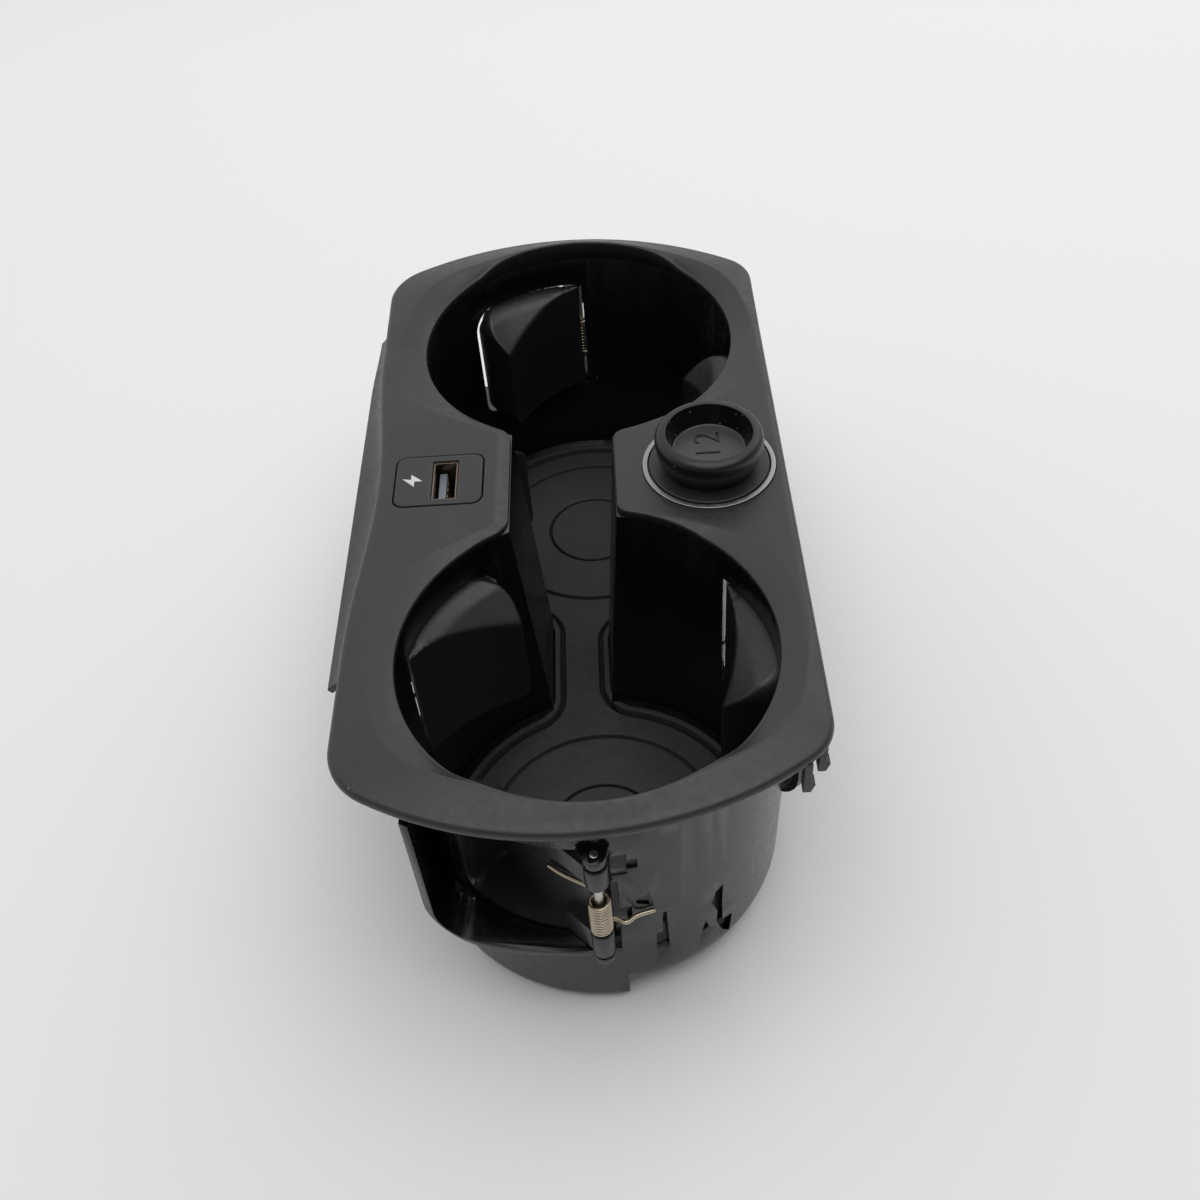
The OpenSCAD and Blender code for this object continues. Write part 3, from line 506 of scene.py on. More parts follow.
def make_bezel():
    """Top moulding: a skin over the crease and dish surface, skirt, inner edge and underside."""
    outer = outline(1.6)
    inner = dumb_bell(0.5)
    usb = rounded_rect(USB_X, 0, USB_L + 1.2, USB_W + 1.2, 3.3)
    sock = np.array(arc((SOCKET_X, 0), RING_R + 0.3, 0, 360, 72)[:-1])
    # points along the creases, then a plain grid, then rows down the channel's left slope
    rows = []
    for s in (-1, 1):
        for a in range(CREASE_START, CREASE_START + 360):
            c = float(crease_r(np.array([float(a)]))[0])
            radii = [WELL_R + 1.0 + (c - WELL_R - 1.6) * k / 5 for k in range(6)]
            radii += [c + d for d in (-0.45, -0.15, 0.15, 0.45, 0.9, 1.8)]
            rows += [(r * math.cos(math.radians(a)), s * (CUP_Y - r * math.sin(math.radians(a))))
                     for r in radii if r > WELL_R + 0.75]
    rows = np.array(rows)
    rows = rows[np.abs(rows[:, 1]) > 2.0]
    grid = np.array([(x, y) for x in np.arange(-56, 52, 1.6) for y in np.arange(-108, 108.1, 1.6)])
    dy = CUP_Y - np.abs(grid[:, 1])
    r, a = np.hypot(grid[:, 0], dy), np.degrees(np.arctan2(dy, grid[:, 0]))
    grid = grid[r > crease_r(a) + 2.2]
    ease = np.array([(x, y) for x in (-19.4, -20.2, -21, -21.6, -22.0, -22.4, -22.9)
                     for y in np.arange(-18, 18.1, 0.8)])
    inside = np.concatenate([rows, grid, ease])
    guard_out, guard_in = outline(2.1), offset_loop(inner, 0.35)
    ok = in_loop(inside, guard_out) & ~in_loop(inside, guard_in)
    ok &= ~in_loop(inside, offset_loop(usb, 0.4)) & ~in_loop(inside, offset_loop(sock, 0.4))
    co, tri, marks = fill_area(outer, [inner, usb, sock], inside[ok])
    top = OPEN_Z + height(co[:, 0], co[:, 1])
    verts = [(x, y, z) for (x, y), z in zip(co, top)]
    faces = [tuple(int(i) for i in t) for t in tri]

    def add_loop(pts, z):
        k = len(verts)
        z = np.broadcast_to(z, (len(pts),))
        verts.extend((p[0], p[1], zz) for p, zz in zip(pts, z))
        return list(range(k, k + len(pts)))

    # round over the outer edge, down the skirt and up behind it
    loop, z0 = marks[0], top[marks[0]]
    low = OPEN_Z - SKIRT_DROP
    for d, z in ((1.05, z0 - 0.10), (0.55, z0 - 0.38), (0.2, z0 - 0.80), (0.0, z0 - 1.4),
                 (0.02, OPEN_Z - 0.6), (0.6, OPEN_Z - 1.9), (1.3, low + 0.5),
                 (1.55, low + 0.12), (1.75, low), (2.4, low)):
        nxt = add_loop(outline(d), z)
        faces += stitch(nxt, loop)
        loop = nxt
    back = add_loop(outline(2.4), PLATE_Z)
    faces += stitch(back, loop)
    # the inner edge and the two openings go down to the plate's underside
    lower = []
    for loop, pts, steps in (
            (marks[1], inner, ((-0.22, -0.06), (-0.38, -0.2), (-0.47, -0.42), (-0.5, -0.7))),
            (marks[2], usb, ((-0.15, -0.04), (-0.27, -0.14), (-0.3, -0.3))),
            (marks[3], sock, ((-0.15, -0.04), (-0.27, -0.14), (-0.3, -0.3)))):
        z0 = top[loop]
        for d, dz in steps:
            nxt = add_loop(offset_loop(pts, d), z0 + dz)
            faces += stitch(loop, nxt)
            loop = nxt
            last = offset_loop(pts, d)
        nxt = add_loop(last, PLATE_Z)
        faces += stitch(loop, nxt)
        lower.append((nxt, last))
    _, tri, marks = fill_area(outline(2.4), [pts for _, pts in lower], [])
    place = {}
    for loop, ids in zip([back] + [ids for ids, _ in lower], marks):
        for i, k in zip(loop, ids):
            place[k] = i
    faces += [tuple(place[int(i)] for i in t[::-1]) for t in tri]
    return new_object("bezel_moulding", verts, faces, M["bezel"], slot="trim")


bezel = make_bezel()
outward(bezel)
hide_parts("bezel")


def shell_between(front, back):
    """A closed skin through two equal grids of points, [row][column]."""
    m, n = len(front), len(front[0])
    verts = [p for row in front for p in row] + [p for row in back for p in row]
    k = m * n
    faces = []
    for i in range(m - 1):
        for j in range(n - 1):
            a, b, c, d = i * n + j, i * n + j + 1, (i + 1) * n + j + 1, (i + 1) * n + j
            faces += [(a, b, c, d), (k + a, k + d, k + c, k + b)]
    for i in range(m - 1):
        a, b = i * n, (i + 1) * n
        faces += [(a, b, k + b, k + a), (a + n - 1, k + a + n - 1, k + b + n - 1, b + n - 1)]
    for j in range(n - 1):
        a, b = j, (m - 1) * n + j
        faces += [(a, k + a, k + a + 1, a + 1), (b, b + 1, k + b + 1, k + b)]
    return verts, faces


def make_flank():
    """Left flank: leaves the scalloped edge steeply, then flares out to a straight lower edge."""
    y0, y1 = -CUP_Y, CUP_Y + 19
    front, back = [], []
    for i in range(91):
        y = y0 + (y1 - y0) * i / 90
        x = EDGE_LEFT + scallop(y) + 0.35
        low = EDGE_LEFT - FLANK_OUT + 0.8 * smooth((y - y1 + 26) / 26)
        p = np.array((x, OPEN_Z - 1.2))
        q = np.array((x - 0.5, OPEN_Z - 6.4))
        r = np.array((low, OPEN_Z - FLANK_DROP))
        row, inner = [], []
        for k in range(13):
            t = k / 12
            c = (1 - t) ** 2 * p + 2 * t * (1 - t) * q + t * t * r
            d = 2 * (1 - t) * (q - p) + 2 * t * (r - q)
            d /= np.linalg.norm(d)
            n = np.array((-d[1], d[0]))
            row.append((c[0], y, c[1]))
            g = c + FLANK_T * n * (1 if n[0] > 0 else -1)
            inner.append((g[0], y, min(g[1], OPEN_Z - 1.2)))
        front.append(row)
        back.append(inner)
    ob = new_object("bezel_flank", *shell_between(front, back), M["bezel"], slot="trim")
    outward(ob)
    bevel_mod(ob, 0.35)


def prism(points, axis, lo, hi):
    """Extrudes an outline along y (its plane is x, z) or along z (its plane is x, y)."""
    n = len(points)
    if axis == "y":
        verts = [(p[0], lo, p[1]) for p in points] + [(p[0], hi, p[1]) for p in points]
    else:
        verts = [(p[0], p[1], lo) for p in points] + [(p[0], p[1], hi) for p in points]
    faces = [tuple(range(n)), tuple(range(2 * n - 1, n - 1, -1))]
    faces += [(i, n + i, n + (i + 1) % n, (i + 1) % n) for i in range(n)]
    return verts, faces


def hook_edge_x(y):
    """x of the bezel's edge near its right front corner."""
    a, c = corner_angle(CORNER_RIGHT, EDGE_RIGHT), corner_y(CORNER_RIGHT, EDGE_RIGHT)
    if abs(y) > c + CORNER_RIGHT * math.sin(math.radians(a)):
        return END_X + math.sqrt(END_ARC_R ** 2 - (abs(y) - HALF_L + END_ARC_R) ** 2)
    return EDGE_RIGHT - CORNER_RIGHT + math.sqrt(CORNER_RIGHT ** 2 - max(abs(y) - c, 0) ** 2)


def make_hooks():
    """Two snap hooks under the right front corner."""
    for i, part in enumerate((0.37, 0.8)):
        y = -corner_y(CORNER_RIGHT, EDGE_RIGHT) - part * CORNER_RIGHT
        x, z = hook_edge_x(y) - 2.7, OPEN_Z - 0.9
        pts = [(x, z), (x + 1.8, z), (x + 1.8, OPEN_Z - 7.2), (x + 2.7, OPEN_Z - 8.0),
               (x + 1.8, OPEN_Z - 10.6), (x, OPEN_Z - 10.6)]
        ob = new_object(f"snap_hook_{i + 1}", *prism(pts, "y", y - 1.5, y + 1.5), M["bezel"],
                        slot="trim")
        outward(ob)
        bevel_mod(ob, 0.25)


make_flank()
make_hooks()


# ---- fingers' frame and springs
FINGERS = [f"{e}_{s}" for e in ("front", "rear") for s in ("end", "left", "right")]
HINGE_R = WELL_R + 5.5
WIRE_R, COIL_R = 0.55, 2.1
COIL_LOW, COIL_HIGH = OPEN_Z - 38, OPEN_Z - 26.5
HINGES = {"end": -90.0, "left": 169.5, "right": 38.0}


def at_finger(name, p):
    """A point given in a finger's own frame, put in its well."""
    end, side = name.split("_")
    a = math.radians(HINGES[side])
    x, y = p[0], -p[1]
    u = x * math.cos(a) - y * math.sin(a)
    v = x * math.sin(a) + y * math.cos(a) - CUP_Y
    return (u, -v if end == "rear" else v, p[2])


# The grip face is an arc of radius GRIP_R from the TIP beside the hinge to the INNER corner, which
# lies REACH inside the well's wall, SPAN degrees on.
GRIP_R, REACH, SPAN, SHELL = 46.0, 13.2, 46.5, 1.8
TIP = np.array((WELL_R - 0.2, 0.2))
INNER = polar(WELL_R - REACH, SPAN)
CHORD_HALF = np.linalg.norm(INNER - TIP) / 2
CHORD_DIR = (INNER - TIP) / (2 * CHORD_HALF)
GRIP_C = (TIP + INNER) / 2 + math.sqrt(GRIP_R ** 2 - CHORD_HALF ** 2) * np.array(
    (-CHORD_DIR[1], CHORD_DIR[0]))
GRIP_A0 = math.degrees(math.atan2(*(TIP - GRIP_C)[::-1]))


def catmull(points, per):
    """A smooth path through points."""
    pts = [np.array(p, float) for p in points]
    pts = [2 * pts[0] - pts[1]] + pts + [2 * pts[-1] - pts[-2]]
    path = []
    for i in range(1, len(pts) - 2):
        a, b, c, d = pts[i - 1:i + 3]
        for k in range(per):
            t = k / per
            path.append(0.5 * (2 * b + (c - a) * t + (2 * a - 5 * b + 4 * c - d) * t * t
                               + (3 * b - a - 3 * c + d) * t ** 3))
    return path + [pts[-2]]


def tube(path, r, sides=12):
    """A round wire along a path, with its frame carried along and rounded ends."""
    path = [np.array(p, float) for p in path]
    n = len(path)
    tangents = [path[min(i + 1, n - 1)] - path[max(i - 1, 0)] for i in range(n)]
    tangents = [t / np.linalg.norm(t) for t in tangents]
    b = np.cross(tangents[0], (0.1, 0.2, 1.0))
    b /= np.linalg.norm(b)
    rings = []
    for i, t in enumerate(tangents):
        b = b - t * np.dot(b, t)
        b /= np.linalg.norm(b)
        c = np.cross(t, b)
        rings.append((path[i], b, c, r))
    first, last = tangents[0], tangents[-1]
    rings = [(path[0] - first * r * 0.5, rings[0][1], rings[0][2], r * 0.6)] + rings + \
            [(path[-1] + last * r * 0.5, rings[-1][1], rings[-1][2], r * 0.6)]
    verts = [p + q * (math.cos(2 * math.pi * k / sides) * b + math.sin(2 * math.pi * k / sides) * c)
             for p, b, c, q in rings for k in range(sides)]
    faces = [(i * sides + k, i * sides + (k + 1) % sides,
              (i + 1) * sides + (k + 1) % sides, (i + 1) * sides + k)
             for i in range(len(rings) - 1) for k in range(sides)]
    m = len(rings) * sides
    faces += [tuple(range(sides))[::-1], tuple(range(m - sides, m))]
    return verts, faces


def spring_path():
    """Torsion spring: a leg along the well's wall, the coil round the pin, a leg on the finger."""
    coil_end = 209.4
    turn = 180 - coil_end + 3600
    # just off the drafted wall
    leg_r = WELL_R + 2 + 1.5 * COIL_LOW / OPEN_Z + WIRE_R + 0.15
    away, over = polar(leg_r, -14.5), polar(leg_r + 0.3, -9.5)
    low = [(*away, COIL_LOW), (*over, COIL_LOW), (HINGE_R - 0.9, -5.6, COIL_LOW),
           (HINGE_R - 1.6, -3.6, COIL_LOW), (HINGE_R - COIL_R, -1.6, COIL_LOW)]
    coil = []
    steps = 230
    for i in range(steps + 1):
        a = math.radians(180 - turn * i / steps)
        coil.append((HINGE_R + COIL_R * math.cos(a), COIL_R * math.sin(a),
                     COIL_LOW + (COIL_HIGH - COIL_LOW) * i / steps))
    r = GRIP_R + SHELL + WIRE_R + 0.25
    near, rest = GRIP_C + polar(r + 0.1, GRIP_A0 + 8.8), GRIP_C + polar(r, GRIP_A0 + 13.5)
    mid = (near + np.array((HINGE_R, 0)) + polar(COIL_R, coil_end)) / 2
    high = [(*mid, COIL_HIGH), (*near, COIL_HIGH), (*rest, COIL_HIGH)]
    return catmull(low + [coil[0]], 5)[:-1] + coil + catmull([coil[-1]] + high, 6)[1:]


SPRING_PATH = spring_path()
for f in FINGERS:
    verts, faces = tube(SPRING_PATH, WIRE_R)
    ob = new_object("wire_" + f, [at_finger(f, v) for v in verts], faces, M["spring"],
                    body=None, slot="spring")
    outward(ob)
    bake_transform(ob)
    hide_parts("spring_" + f)


# ---- fingers
WINDOW_MID = (-1.5 + SPAN + 1.2) / 2
# a finger is laid out by its depth along the window's axis E_N and its lateral place along E_T
E_N, E_T = polar(1, WINDOW_MID), polar(1, WINDOW_MID + 90)
Z_LOW, Z_TOP = OPEN_Z - 10 - 37.8, OPEN_Z - 10.05
WALL_R = WELL_R - 0.25
T_TIP = float(TIP @ E_T)
T_END = WALL_R * math.sin(math.radians(SPAN - WINDOW_MID)) - 0.05
# the ramp over the grip falls by TOP_FALL, and TOP_ROUND of its reach lies in its rounded top edge
TOP_FALL, TOP_ROUND = 9.5, 0.2
EAR_DIP, EDGE_ROUND = 0.45, 0.7


def soft_max(a, b, width):
    """The larger value, blended where the two are close."""
    return (a + b + np.sqrt((a - b) ** 2 + width ** 2)) / 2


def corner_shift(z):
    """How far the free end draws back near its rounded upper and lower corners."""
    up, low = 6.2, 5.0
    u = np.clip(z - (Z_TOP - up), 0, up * 0.999)
    v = np.clip((Z_LOW + low) - z, 0, low * 0.999)
    return up - np.sqrt(up ** 2 - u ** 2) + low - np.sqrt(low ** 2 - v ** 2)


def end_depth(t):
    """Depth of the convex end wall at t, from the inner corner out to the well's wall."""
    a, c = INNER, polar(WALL_R, SPAN)
    b = polar(37.5, SPAN + 2.3)
    k = np.linspace(0, 1, 40)[:, None]
    curve = (1 - k) ** 2 * a + 2 * k * (1 - k) * b + k * k * c
    ct, cd = curve @ E_T, curve @ E_N
    slope = (cd[1] - cd[0]) / (ct[1] - ct[0])
    return np.where(t < ct[0], cd[0] + slope * (t - ct[0]), np.interp(t, ct, cd))


def finger_depth(t, z, inset):
    """Depth of the finger's face; with an inset, of the hollow's face behind it."""
    gd, gt = float(GRIP_C @ E_N), float(GRIP_C @ E_T)
    grip = gd + np.sqrt(np.maximum((GRIP_R + inset) ** 2 - (t - gt) ** 2, 0))
    fall = Z_TOP - inset * 1.1 - z
    inward = REACH * (fall / TOP_FALL * (1 - TOP_ROUND) + TOP_ROUND * smooth(fall / 2.6 + 0.25))
    ramp = np.sqrt(np.maximum((WALL_R - inward) ** 2 - t ** 2, 0))
    end = end_depth(t + corner_shift(z) + inset * 0.95)
    return soft_max(soft_max(grip, end, 0.7), ramp, 0.35)


def finger_parts():
    """Shell of a finger with its hollow back, and its two hinge arms with their knuckles."""
    u = np.linspace(0, 1, 60)
    u = u ** 0.8
    front, back = [], []
    for z in np.linspace(Z_LOW, Z_TOP, 74):
        t = T_TIP + (T_END - float(corner_shift(np.array(z))) - T_TIP) * u
        wall = np.sqrt(WALL_R ** 2 - t ** 2)
        d = np.minimum(finger_depth(t, z, 0.0), wall)
        for edge in (Z_TOP, Z_LOW):
            k = min(max(1 - abs(z - edge) / EDGE_ROUND, 0), 1)
            d = np.minimum(d + EDGE_ROUND * (1 - math.sqrt(1 - k * k)), wall)
        if z < Z_LOW + SHELL or z > Z_TOP - 1.2:
            inner = wall + 0.9
        else:
            inner = np.minimum(np.maximum(finger_depth(t, z, SHELL), d + 0.9), wall + 0.9)
        # beside the hinge the top edge dips, so that it swings clear of the ear above it
        zz = z - EAR_DIP * (1 - smooth((t - T_TIP - 4.2) / 1.5)) * smooth((z - Z_TOP + 1.5) / 1.5)
        front.append([(*(dd * E_N + tt * E_T), h) for dd, tt, h in zip(d, t, zz)])
        back.append([(*(dd * E_N + tt * E_T), h) for dd, tt, h in zip(inner, t, zz)])
    parts = [shell_between(front, back)]
    knuckle = 2.6
    arm = [(HINGE_R, -knuckle + 0.6), (HINGE_R, knuckle), (WELL_R + 0.2, 8),
           (WELL_R - 2.4, 7.4), (WELL_R - 0.8, 1.2)]
    for z0, z1 in ((OPEN_Z - 19, OPEN_Z - 12), (Z_LOW, OPEN_Z - 38 - WIRE_R - 0.6)):
        parts.append(prism(arm, "z", z0 + 0.05, z1 - 0.05))
        ring = fillet_profile([(1.15, z0, 0), (knuckle, z0, 0.3),
                               (knuckle, z1, 0.3), (1.15, z1, 0)], 3)
        parts.append(lathe(ring, 40, (HINGE_R, 0)))
    return parts


def fillet_profile(points, n=6):
    """A closed profile of (r, z, reach) points, each corner rounded over its reach."""
    out = []
    m = len(points)
    for i in range(m):
        p, c, q = (np.array(points[k][:2], float) for k in ((i - 1) % m, i, (i + 1) % m))
        rad = points[i][2]
        if rad <= 0:
            out.append(tuple(c))
            continue
        u, v = (p - c) / np.linalg.norm(p - c), (q - c) / np.linalg.norm(q - c)
        a, b = c + u * rad, c + v * rad
        for k in range(n + 1):
            t = k / n
            out.append(tuple((1 - t) ** 2 * a + 2 * t * (1 - t) * c + t * t * b))
    return out


def sharpen(ob, angle):
    """Keeps edges sharper than the angle crisp under smooth shading."""
    me = ob.data
    bm = bmesh.new()
    bm.from_mesh(me)
    for e in bm.edges:
        if len(e.link_faces) == 2 and e.calc_face_angle(0) > math.radians(angle):
            e.smooth = False
    bm.to_mesh(me)
    bm.free()


def pocket_web(end):
    """Carries the side wall of an end pocket on to the round outside of its well."""
    # as in the CAD: the wall's place and thickness, the shelf, and the rounds where they meet
    wall_mid, x_end, y_wall, thick = WELL_R + 1.0, 29.6, 38.2, 1.9
    z_shelf, round_in, round_out = 31.6, 8.0, 13.0
    rows = []
    for z in (31.5, 32.2, 33.0, 34.0, 35.5, 37.5, 39.6, 42.6, PLATE_Z - 1.95):
        a, b = max(z_shelf + round_in - z, 0), max(z_shelf - 2 + round_out - z, 0)
        y_in = y_wall - round_in + math.sqrt(max(round_in ** 2 - a ** 2, 0))
        y_in = max(y_in, math.sqrt(wall_mid ** 2 - (x_end - 0.2) ** 2)) + 0.03
        y_out = y_wall + thick - round_out + math.sqrt(round_out ** 2 - b ** 2) - 0.03
        rows.append([(math.sqrt(wall_mid ** 2 - y_in ** 2), y_in, z), (x_end, y_in, z),
                     (x_end, y_out, z), (math.sqrt(wall_mid ** 2 - y_out ** 2), y_out, z)])
    verts = [at_finger(end + "_end", p) for row in rows for p in row]
    faces = [(0, 1, 2, 3), tuple(range(len(verts) - 4, len(verts)))]
    for i in range(len(rows) - 1):
        faces += [(4 * i + k, 4 * i + (k + 1) % 4, 4 * i + 4 + (k + 1) % 4, 4 * i + 4 + k)
                  for k in range(4)]
    ob = new_object("pocket_web_" + end, verts, faces, M["tub"], slot="housing")
    outward(ob)
    sharpen(ob, 30)


for end in ("front", "rear"):
    pocket_web(end)

FINGER = join_parts(finger_parts())
for f in FINGERS:
    ob = new_object("grip_" + f, [at_finger(f, v) for v in FINGER[0]], FINGER[1], M["finger"],
                    body="finger_" + f, slot="finger")
    outward(ob)
    sharpen(ob, 50)
    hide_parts("finger_" + f)

# ---- mat
MAT_R = WELL_R - 2
MAT_TOP = FLOOR_T + 3.0
NECK_X = (CHANNEL_LEFT + CHANNEL_RIGHT) / 2
NECK_HALF = 8.0
LIP_H = 0.8
EDGE_GROOVE = (2.35, 0.5, 2.0)      # each groove's place, half width and depth
OUTER_RING, INNER_RING = (31.0, 0.5, 2.0), (14.3, 0.33, 1.6)


def mat_outline(d):
    """Dumb-bell outline drawn in by d, counter-clockwise, its inner corners filleted."""
    r, x1, x0 = MAT_R - d, NECK_X + NECK_HALF - d, NECK_X - NECK_HALF + d
    fil = 9.0 + d

    def side(x, sg):
        # centre of the fillet that touches the circle and the neck's straight side
        cx = x + sg * fil
        cy = -CUP_Y + math.sqrt((r + fil) ** 2 - cx ** 2)
        touch = math.degrees(math.atan2(cy + CUP_Y, cx))
        return cx, cy, touch

    rx, ry, ra = side(x1, 1)
    lx, ly, la = side(x0, -1)
    front = arc((0, -CUP_Y), r, la - 360, ra, 220)
    right = arc((rx, ry), fil, ra + 180, 180, 18)
    neck_r = [np.array((x1, ry + (-2 * ry) * i / 24)) for i in range(1, 24)]
    right2 = [np.array((p[0], -p[1])) for p in right[::-1]]
    rear = [np.array((p[0], -p[1])) for p in front[::-1]]
    left2 = arc((lx, ly), fil, la - 180, 0, 18)
    left1 = [np.array((p[0], -p[1])) for p in left2]
    neck_l = [np.array((x0, -ly + 2 * ly * i / 24)) for i in range(1, 24)]
    return np.array(front[:-1] + right + neck_r + right2[:-1] + rear[:-1] + left1
                    + neck_l + left2[::-1][:-1])


def mat_height(x, y, edge):
    """Top of the mat: a thin raised lip, a groove inside it and two ring grooves."""
    r = np.hypot(x, np.abs(y) - CUP_Y)

    def groove(v, at, half, depth):
        return -depth * smooth((half + 0.22 - np.abs(v - at)) / 0.44)

    z = MAT_TOP + LIP_H * smooth((1.75 - edge) / 0.4)
    z += groove(edge, *EDGE_GROOVE)
    z += np.where(edge > 3.3, groove(r, *OUTER_RING) + groove(r, *INNER_RING), 0)
    return z


def make_mat():
    """Rubber mat: top with its lip and grooves, edge and underside."""
    outer = mat_outline(0.0)
    pts = [p for d in (0.4, 0.9, 1.3, 1.45, 1.6, 1.75, 1.9, 2.1, 2.35, 2.6, 2.8, 2.95, 3.15, 3.5)
           for p in mat_outline(d)]
    for sg in (-1, 1):
        for (at, _, _), offs in (
                (OUTER_RING, (-1.2, -0.8, -0.65, -0.5, -0.33, 0, 0.33, 0.5, 0.65, 0.8, 1.2)),
                (INNER_RING, (-1.0, -0.6, -0.47, -0.3, -0.13, 0.13, 0.3, 0.47, 0.6, 1.0))):
            for d in offs:
                pts += [np.array((p[0], sg * CUP_Y + p[1]))
                        for p in arc((0, 0), at + d, 0, 360, 200)[:-1]]
    grid = np.array([(x, y) for x in np.arange(-42, 42.1, 2.4)
                     for y in np.arange(-100, 100.1, 2.4)])
    r = np.hypot(grid[:, 0], np.abs(grid[:, 1]) - CUP_Y)
    grid = grid[in_loop(grid, mat_outline(3.9)) & (np.abs(r - OUTER_RING[0]) > 1.6)
                & (np.abs(r - INNER_RING[0]) > 1.2)]
    pts = np.array(pts)
    pts = pts[in_loop(pts, mat_outline(0.2))]
    co, tri, marks = fill_area(outer, [], np.concatenate([pts, grid]))
    edge = np.array([np.hypot(outer[:, 0] - x, outer[:, 1] - y).min() for x, y in co])
    top = mat_height(co[:, 0], co[:, 1], edge)
    verts = [(x, y, z) for (x, y), z in zip(co, top)]
    faces = [tuple(int(i) for i in t) for t in tri]
    loop = marks[0]
    z0 = MAT_TOP + LIP_H
    for d, z in ((-0.12, z0 - 0.1), (-0.16, z0 - 0.35), (0.0, MAT_TOP - 0.6),
                 (3.2, FLOOR_T + 0.05)):
        ring = offset_loop(outer, -d)
        k = len(verts)
        verts += [(p[0], p[1], z) for p in ring]
        nxt = list(range(k, k + len(ring)))
        faces += stitch(nxt, loop)
        loop = nxt
    _, tri, marks = fill_area(ring, [], [])
    place = {k: i for i, k in zip(loop, marks[0])}
    faces += [tuple(place[int(i)] for i in t[::-1]) for t in tri]
    ob = new_object("mat_rubber", verts, faces, M["mat"], slot="mat")
    outward(ob)
    # faces low in the grooves take the painted shade material
    ob.data.materials.append(M["groove"])
    for p in ob.data.polygons:
        if p.normal.z > 0.2 and FLOOR_T + 0.3 < p.center.z / MM < MAT_TOP - 0.5:
            p.material_index = 1
    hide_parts("mat")


make_mat()

# ---- power socket's cap and ring
SEAT_Z = OPEN_Z + 1.2
CAP_TOP = OPEN_Z + 12.0
CAP_FACE = CAP_TOP - 5.6


def make_cap():
    """Pull-out cap: stem, flange and a rounded grip roll about a sunk face."""
    opening, foot = 10.9, 11.2
    prof = fillet_profile([
        (0.0, SEAT_Z - 2, 0), (8.4, SEAT_Z - 2, 0), (8.4, SEAT_Z - 20, 0.2),
        (10.4, SEAT_Z - 20, 0.5), (10.4, SEAT_Z, 0), (15.3, SEAT_Z, 0.25),
        (15.3, SEAT_Z + 0.9, 0.4), (foot, SEAT_Z + 0.9, 0), (13.7, CAP_TOP - 5.0, 2.3),
        (13.7, CAP_TOP, 2.6), (opening, CAP_TOP - 0.1, 0.15),
        (opening - 0.4, CAP_TOP - 1.8, 0.4), (9.3, CAP_FACE, 0.5), (0.0, CAP_FACE, 0)], 8)
    verts, faces = lathe(prof, 120, (SOCKET_X, 0))
    ob = new_object("cap_grip", verts, faces, M["cap"], body="cap", slot="cap")
    for mat in ("cap_wall", "cap_face_lit", "port"):
        ob.data.materials.append(M[mat])
    bm = bmesh.new()
    bm.from_mesh(ob.data)
    bmesh.ops.remove_doubles(bm, verts=bm.verts, dist=1e-6)
    bmesh.ops.dissolve_degenerate(bm, dist=1e-7, edges=bm.edges)
    bmesh.ops.recalc_face_normals(bm, faces=bm.faces)
    for f in bm.faces:
        c = f.calc_center_median()
        r, z = math.hypot(c.x - SOCKET_X * MM, c.y) / MM, c.z / MM
        # the sunk face takes the lighter painted-light copy of the rubber, the wall inside the
        # opening the glossy copy
        if z > CAP_FACE - 0.1 and r < opening - 0.1:
            f.material_index = 2 if z < CAP_FACE + 0.15 else 1
        elif SEAT_Z < z < SEAT_Z + 0.95 and r > 11.5:
            f.material_index = 3
    bm.to_mesh(ob.data)
    bm.free()
    sharpen(ob, 35)
    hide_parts("socket_cap")
    # raised plain numbers on the cap's sunk face, read from the left
    data = bpy.data.curves.new("cap_numbers", "FONT")
    data.body = "12"
    data.size = 9.6 * MM
    data.space_character = 1.15
    data.align_x, data.align_y = "CENTER", "CENTER"
    data.extrude = 0.16 * MM
    data.bevel_depth = 0.05 * MM
    data.offset = -0.24 * MM
    text = bpy.data.objects.new("cap_numbers", data)
    SCENE.collection.objects.link(text)
    text.location = (SOCKET_X * MM, 1.2 * MM, (CAP_FACE + 0.05) * MM)
    text.rotation_euler = (0, 0, math.radians(90))
    data.materials.append(M["cap_wall"])
    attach(text, "cap")


def make_ring():
    """Silver ring round the socket."""
    r0, r1, z1 = RING_R - 1.3, RING_R - 0.05, OPEN_Z + LAND_H + 0.35
    prof = fillet_profile([(r0, PLATE_Z, 0), (r1, PLATE_Z, 0), (r1, z1 - 0.05, 0.18),
                           (r0, z1, 0.15)])
    ob = new_object("ring_trim", *lathe(prof, 128, (SOCKET_X, 0)), M["silver"],
                    slot="silver_ring")
    outward(ob)
    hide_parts("socket_ring")


make_cap()
make_ring()


